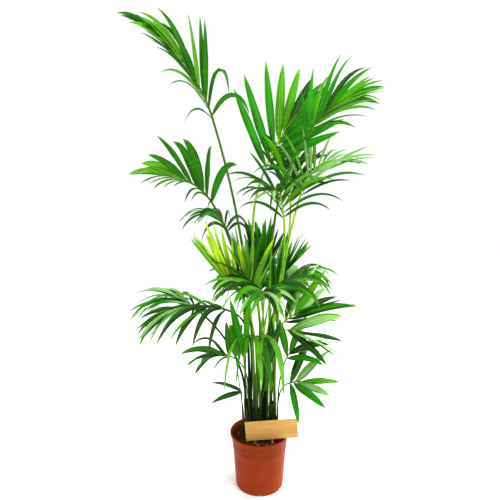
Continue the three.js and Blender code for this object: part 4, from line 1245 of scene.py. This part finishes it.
def stem_surface(stem, feet, overlap):
    """A stem as one lobed skin.

    Its radius goes from round at the soil to the outline of its petioles' feet at the top, which is at least
    0.7 of its farthest, blended by smoothstep. A saw tooth that spirals upward gives the edges where one
    sheath laps over the next, and two low ripples, sin(9 a + 5 t) and sin(23 a - 8 t), roughen it.
    """
    rows, columns = 36, 72
    top = stem_top(stem)
    foot = np.array([stem["x"], stem["y"], SOIL_TOP - STEM["sunk"]])
    straight = foot + UP * STEM["straight"]
    bow = np.array([top[0], top[1], (foot[2] + top[2]) / 2])
    centre = bezier((foot, straight, bow, top), rows)
    t = np.linspace(0, 1, rows)[:, None]
    angle = np.linspace(0, 2 * np.pi, columns, endpoint=False)[None]
    plain = stem["radius"] + (stem["flare"] - stem["radius"]) * (1 - t) ** STEM["taper"]
    offsets = np.array([start[:2] - top[:2] for start, _ in feet])
    sizes = np.array([size for _, size in feet]) * STEM["clasp"]
    d = np.hypot(*offsets.T)[:, None]
    place = np.arctan2(offsets[:, 1], offsets[:, 0])[:, None]
    reach = sizes[:, None] ** 2 - (d * np.sin(angle - place)) ** 2
    outline = np.where(reach > 0, d * np.cos(angle - place) + np.sqrt(np.maximum(reach, 0)), 0).max(axis=0)
    outline = np.maximum(outline, 0.7 * (d[:, 0] + sizes).max())[None]
    share = np.clip((t - STEM["plain"]) / (1 - STEM["plain"]), 0, 1)
    share = share ** 2 * (3 - 2 * share)
    saw = (angle / (2 * np.pi) * len(feet) + STEM["rise"] * t + stem["x"] * 90) % 1
    radius = plain * (1 - share) + outline * share + overlap * (saw - 0.5) * (1 - share)
    radius = radius * (1 + 0.012 * np.sin(9 * angle + 5 * t) + 0.01 * np.sin(23 * angle - 8 * t))
    ring = np.stack([np.cos(angle) * radius, np.sin(angle) * radius, 0 * radius], -1)
    points = (centre[:, None] + ring).reshape(-1, 3)
    faces = grid_faces(rows, columns, closed=True)
    j = np.arange(columns)
    after = (j + 1) % columns
    low, high = len(points), len(points) + 1
    bottom = np.stack([after, j, 0 * j + low, 0 * j + low], -1)
    crown = (rows - 1) * columns
    lid = np.stack([crown + j, crown + after, 0 * j + high, 0 * j + high], -1)
    return np.vstack([points, [centre[0], centre[-1]]]), np.vstack([faces, bottom, lid]), centre, radius


class PALM_OT_stems(Operator):
    """Builds the sheathed stems and the dry strips on them"""

    bl_idname = "palm.stems"
    bl_label = "Build stems"

    def execute(self, context):
        settings = context.scene.palm_stems
        brown, olive, green = (
            tuple(getattr(settings, key + "_colour")) for key in ("brown", "olive", "green"))
        old = sheath_material("old_sheath", brown, between(brown, olive, 0.6), olive)
        young = sheath_material("young_sheath", between(brown, olive, 0.5), olive, green)
        leaves = grown_leaves()
        draw = np.random.default_rng(3)
        strips = []
        for i, (name, stem) in enumerate(STEMS.items()):
            feet = [(leaf["start"], leaf["foot"]) for leaf in leaves if leaf["stem"] == name]
            points, faces, centre, radius = stem_surface(stem, feet, settings.overlap)
            material = young if name in YOUNG_STEMS else old
            node = f"stem_{i + 1}"
            make_piece(f"{node}_sheaths", points, faces, [material], [node])
            strips += self.torn_strips(draw, centre, radius, settings.fibres)
            strips += [self.torn_sheath(draw, centre, radius) for _ in range(settings.flaps)]
        points, faces, uvs, _ = joined(strips)
        dry = dry_material("dry_fibre", tuple(settings.fibre_colour))
        make_piece("stem_fibres", points, faces, [dry], uvs=uvs)
        return {"FINISHED"}

    def torn_sheath(self, draw, centre, radius):
        """A thin sheet that clasps the stem, narrows to (1 - 0.9 u^2) of its spread and stands off by u^2."""
        across = np.linspace(-1, 1, 7)
        v = np.concatenate([across, across[-2:0:-1]])
        under = np.arange(len(v)) >= len(across)
        u = np.linspace(0, 1, 14)[:, None]
        low = draw.uniform(0.05, 0.4)
        t = low + draw.uniform(0.3, 0.97 - low) * u
        rows = np.linspace(0, 1, len(centre))
        middle = np.stack([np.interp(t[:, 0], rows, centre[:, k]) for k in range(3)], -1)
        size = np.interp(t, rows, radius.max(axis=1)) + 0.0006 + draw.uniform(0.001, 0.006) * u ** 2
        ragged = 0.05 * np.sin(19 * u + draw.uniform(0, 6)) * v
        angle = draw.uniform(0, 2 * np.pi) + draw.uniform(0.4, 0.9) * (1 - 0.9 * u ** 2) * v + ragged
        away = np.stack([np.cos(angle), np.sin(angle), 0 * angle], -1)
        points = middle[:, None] + away * (size - 0.0004 * under)[..., None]
        faces = grid_faces(len(u), len(v), closed=True)
        far = cap_faces(len(v), far=True) + (len(u) - 1) * len(v)
        faces = np.vstack([faces, cap_faces(len(v)), far])
        uvs = np.stack([np.broadcast_to(v, angle.shape), np.broadcast_to(u, angle.shape)], -1)
        return points.reshape(-1, 3), faces, uvs.reshape(-1, 2), np.zeros(len(faces), int)

    def torn_strips(self, draw, centre, radius, count):
        """Thin strips that rise along the stem and stand off it by a power of their length."""
        strips = []
        for _ in range(count):
            low = draw.uniform(0.05, 0.6)
            high = low + draw.uniform(0.12, 0.35)
            t = np.linspace(low, min(high, 0.97), 9)
            rows = np.linspace(0, 1, len(centre))
            angle = draw.uniform(0, 2 * np.pi) + draw.uniform(-0.5, 0.5) * (t - low)
            middle = np.stack([np.interp(t, rows, centre[:, k]) for k in range(3)], -1)
            size = np.interp(t, rows, radius.max(axis=1))
            lift = draw.uniform(0.0, 0.004) * ((t - low) / (t[-1] - low)) ** 2
            away = np.stack([np.cos(angle), np.sin(angle), 0 * angle], -1)
            path = middle + away * (size + lift + 0.0002)[:, None]
            width = draw.uniform(0.0005, 0.0012) * np.linspace(1, 0.3, len(t))
            points, faces, uvs = tube(path, width, 5, upward=np.array([away[0, 0], away[0, 1], 0.01]))
            strips.append((points, faces, uvs, np.zeros(len(faces), int)))
        return strips


def spear_line(spear, t):
    """A spear's middle line, which leans by t^2 as it rises, and its radius.

    The radius is foot (1 - t) + swell sin(pi t^1.3) + point.
    """
    aside = heading(spear["azimuth"], 90) * spear["lean"]
    path = stem_top(STEMS[spear["stem"]]) + UP * spear["length"] * t[:, None] + aside * t[:, None] ** 2
    swell = SPEAR["swell"] * np.sin(np.pi * t ** 1.3)
    return path, SPEAR["foot"] * (1 - t) + swell + SPEAR["point"]


class PALM_OT_petioles(Operator):
    """Builds the long grooved stalks from the stems to the fronds, and the spears among them"""

    bl_idname = "palm.petioles"
    bl_label = "Build petioles"

    def execute(self, context):
        settings = context.scene.palm_stalks
        materials = stalk_materials()
        fractions = np.linspace(0, 1, PETIOLE["rows"])
        sides = PETIOLE["sides"]
        for leaf in grown_leaves():
            path = resample(leaf["petiole"], fractions)
            path[0] -= UP * PETIOLE["sunk"]
            inward = -heading(leaf["azimuth"], 90) * 0.6 + UP * 0.8
            points, faces, uvs = tube(path, petiole_radius(leaf, fractions), sides, settings.groove, inward)
            node = f"petiole_{leaf['number']:02d}"
            make_piece(f"{node}_stalk", points, faces, [materials[leaf["stalk"]]], [node], uvs)
        for spear in SPEARS:
            path, radii = spear_line(spear, fractions)
            points, faces, uvs = tube(path, radii, sides, settings.groove)
            make_piece(f"spear_{spear['stem']}", points, faces, [materials["bright"]], uvs=uvs)
        return {"FINISHED"}


def dealt_tones(tone, seeds, along):
    """Deals a leaf material to each leaflet by its seed, in the shares of the frond's tone.

    The drawn share is lowered by 0.95 (1 - along)^5, so the leaflets at the neck are darker.
    """
    shares = np.cumsum(TONES[tone])
    drawn = chance(seeds + 5.7) * (1 - 0.95 * (1 - along) ** 5)
    return np.searchsorted(shares, drawn * shares[-1] * 0.9999)


class PALM_OT_fronds(Operator):
    """Builds every frond: its rachis and its leaflets"""

    bl_idname = "palm.fronds"
    bl_label = "Build fronds"

    def execute(self, context):
        fullness = context.scene.palm_leaves.fullness
        fractions = np.linspace(0, 1, RACHIS["rows"])
        for leaf in grown_leaves():
            frames = leaflet_frames(leaf)
            lifts, found = clear_leaflets(leaf, frames)
            frames = {key: value[found] for key, value in frames.items()}
            shapes = leaflet_shapes(leaf, frames, lifts[found])
            u, rib, side, above = leaflet_ribs(frames["base"], shapes)
            tones = dealt_tones(leaf["tone"], frames["seed"], frames["along"])
            width = shapes["width"] * fullness
            points, faces, uvs, indices, sharp = blades(
                u, rib, side, above, width, leaf["tip"], tones, frames["seed"])
            node = f"frond_{leaf['number']:02d}"
            make_piece(
                f"{node}_leaflets", points, faces, leaf_materials(), [node], uvs, indices, sharp)
            path = resample(leaf["rachis"], fractions)
            radii = rachis_radius(leaf, fractions)
            points, faces, uvs = tube(path, radii, RACHIS["sides"], -RACHIS["ridge"])
            stalk = stalk_materials()[leaf["stalk"]]
            make_piece(f"{node}_rachis", points, faces, [stalk], [node], uvs)
        return {"FINISHED"}


class PALM_OT_seedlings(Operator):
    """Builds the seedling leaves that rise straight from the soil"""

    bl_idname = "palm.seedlings"
    bl_label = "Build seedlings"

    def execute(self, context):
        for i, seedling in enumerate(SEEDLINGS):
            node = f"seedling_{i + 1}"
            self.build(node, i, seedling)
        return {"FINISHED"}

    def build(self, node, i, seedling):
        """A thin stalk to the neck and two broad leaflets. The solid's foot tells how far it was shifted."""
        corners = np.array([v.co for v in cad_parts[node].data.vertices])
        foot = corners[corners[:, 2] < corners[:, 2].min() + 1e-4].mean(axis=0)
        shift = round(np.hypot(foot[0] - seedling["x"], foot[1] - seedling["y"]) / SEEDLING["shift"])
        tilt = seedling["tilt"] + shift * SEEDLING["lean"]
        foot = np.array([foot[0], foot[1], SOIL_TOP - 0.006])
        direction = heading(seedling["azimuth"], tilt)
        rise = seedling["neck"] - SOIL_TOP
        neck = foot + UP * 0.006 + direction * rise
        rows = SEEDLING["rows"]
        path = bezier((foot, foot + UP * rise / 3, neck - direction * rise / 3, neck), rows)
        radii = SEEDLING["foot"] + (SEEDLING["tip"] - SEEDLING["foot"]) * np.linspace(0, 1, rows)
        points, faces, uvs = tube(path, radii, SEEDLING["sides"], 0.2)
        make_piece(f"{node}_stalk", points, faces, [stalk_materials()["green"]], [node], uvs)
        hand = np.array([-1, 1])
        shapes = dict(
            start=heading(seedling["azimuth"], seedling["splay"] + hand * seedling["split"]),
            normal=np.broadcast_to(heading(seedling["face"], 90), (2, 3)),
            length=np.full(2, seedling["span"]) * seedling["cut"],
            width=np.full(2, seedling["width"]),
            sag=np.full(2, seedling["sag"]),
            twist=np.radians(np.stack([SEEDLING["twist"] * hand, 0 * hand], -1)),
        )
        u, rib, side, above = leaflet_ribs(np.broadcast_to(neck, (2, 3)), shapes)
        seeds = 9000.0 + i * 10 + hand
        tones = dealt_tones(seedling["tone"], seeds, np.ones(2))
        points, faces, uvs, indices, sharp = blades(
            u, rib, side, above, shapes["width"], SEEDLING["narrow"], tones, seeds, seedling["cut"])
        make_piece(
            f"{node}_leaflets", points, faces, leaf_materials(), [node], uvs, indices, sharp)


class PALM_OT_stage(Operator):
    """Builds the floor, the soft lights, the white surroundings and the camera"""

    bl_idname = "palm.stage"
    bl_label = "Build stage"

    def execute(self, context):
        scene = context.scene
        settings = scene.palm_stage
        camera = bpy.data.objects.new("camera", bpy.data.cameras.new("camera"))
        camera.location = settings.camera_place
        camera.rotation_euler = (np.pi / 2 - settings.camera_pitch, 0, 0)
        camera.data.lens = settings.lens
        scene.collection.objects.link(camera)
        scene.camera = camera
        for name, (place, size) in LAMPS.items():
            self.lamp(f"{name}_softbox", place, size, getattr(settings, name))
        world = bpy.data.worlds.new("white_surroundings")
        world.use_nodes = True
        background = world.node_tree.nodes["Background"]
        background.inputs["Color"].default_value = (1, 1, 1, 1)
        background.inputs["Strength"].default_value = settings.sky
        scene.world = world
        scene.view_settings.view_transform = "Standard"
        scene.view_settings.gamma = settings.contrast
        self.floor(settings)
        return {"FINISHED"}

    def lamp(self, name, place, size, power):
        """A square softbox that faces the middle of the plant."""
        data = bpy.data.lights.new(name, "AREA")
        data.size = size
        data.energy = power
        lamp = bpy.data.objects.new(name, data)
        lamp.location = place
        aim = MIDDLE - np.array(place)
        tilt = np.arctan2(np.hypot(aim[0], aim[1]), -aim[2])
        turn = np.arctan2(aim[1], aim[0]) - np.pi / 2
        lamp.rotation_euler = (tilt, 0, turn)
        bpy.context.scene.collection.objects.link(lamp)

    def floor(self, settings):
        """A round pale floor, whose rings grow by the cube of their number, so they are fine near the pot."""
        rows, columns = FLOOR["rows"], FLOOR["columns"]
        radius = FLOOR["radius"] * np.linspace(0, 1, rows) ** 3
        angles = np.linspace(0, 2 * np.pi, columns, endpoint=False)
        points = spin(np.stack([radius, np.zeros(rows)], -1), angles).reshape(-1, 3)
        faces = grid_faces(rows, columns, closed=True)
        points, faces = close_poles(points, faces, rows, columns, far=False)
        mesh = bpy.data.meshes.new("floor")
        mesh.from_pydata(points.tolist(), [], [list(dict.fromkeys(face)) for face in faces.tolist()])
        mesh.materials.append(paper_material(tuple(settings.floor_colour)))
        floor = bpy.data.objects.new("floor", mesh)
        bpy.context.scene.collection.objects.link(floor)


STEPS = ("stage", "pot", "soil", "label", "stems", "petioles", "fronds", "seedlings")


class PALM_PT_panel(Panel):
    """Lists the palm's sizes and colours, and a button for each piece."""

    bl_label = "Potted kentia palm"
    bl_idname = "PALM_PT_panel"
    bl_space_type = "VIEW_3D"
    bl_region_type = "UI"
    bl_category = "Palm"

    def draw(self, context):
        for name, group in GROUPS.items():
            box = self.layout.box()
            box.label(text=group.__doc__)
            for key in group.__annotations__:
                box.prop(getattr(context.scene, name), key)
        for step in STEPS:
            self.layout.operator(f"palm.{step}")


CLASSES = (
    *GROUPS.values(), PALM_OT_stage, PALM_OT_pot, PALM_OT_soil, PALM_OT_label, PALM_OT_stems,
    PALM_OT_petioles, PALM_OT_fronds, PALM_OT_seedlings, PALM_PT_panel,
)


def register():
    """Registers the classes and hangs the settings on the scene."""
    for kind in CLASSES:
        bpy.utils.register_class(kind)
    for name, group in GROUPS.items():
        setattr(bpy.types.Scene, name, PointerProperty(type=group))


def unregister():
    """Takes the settings off the scene and the classes out again."""
    for name in GROUPS:
        delattr(bpy.types.Scene, name)
    for kind in reversed(CLASSES):
        bpy.utils.unregister_class(kind)


def main():
    """Registers the classes and builds every piece in order."""
    register()
    for step in STEPS:
        getattr(bpy.ops.palm, step)()


if __name__ == "__main__":
    main()
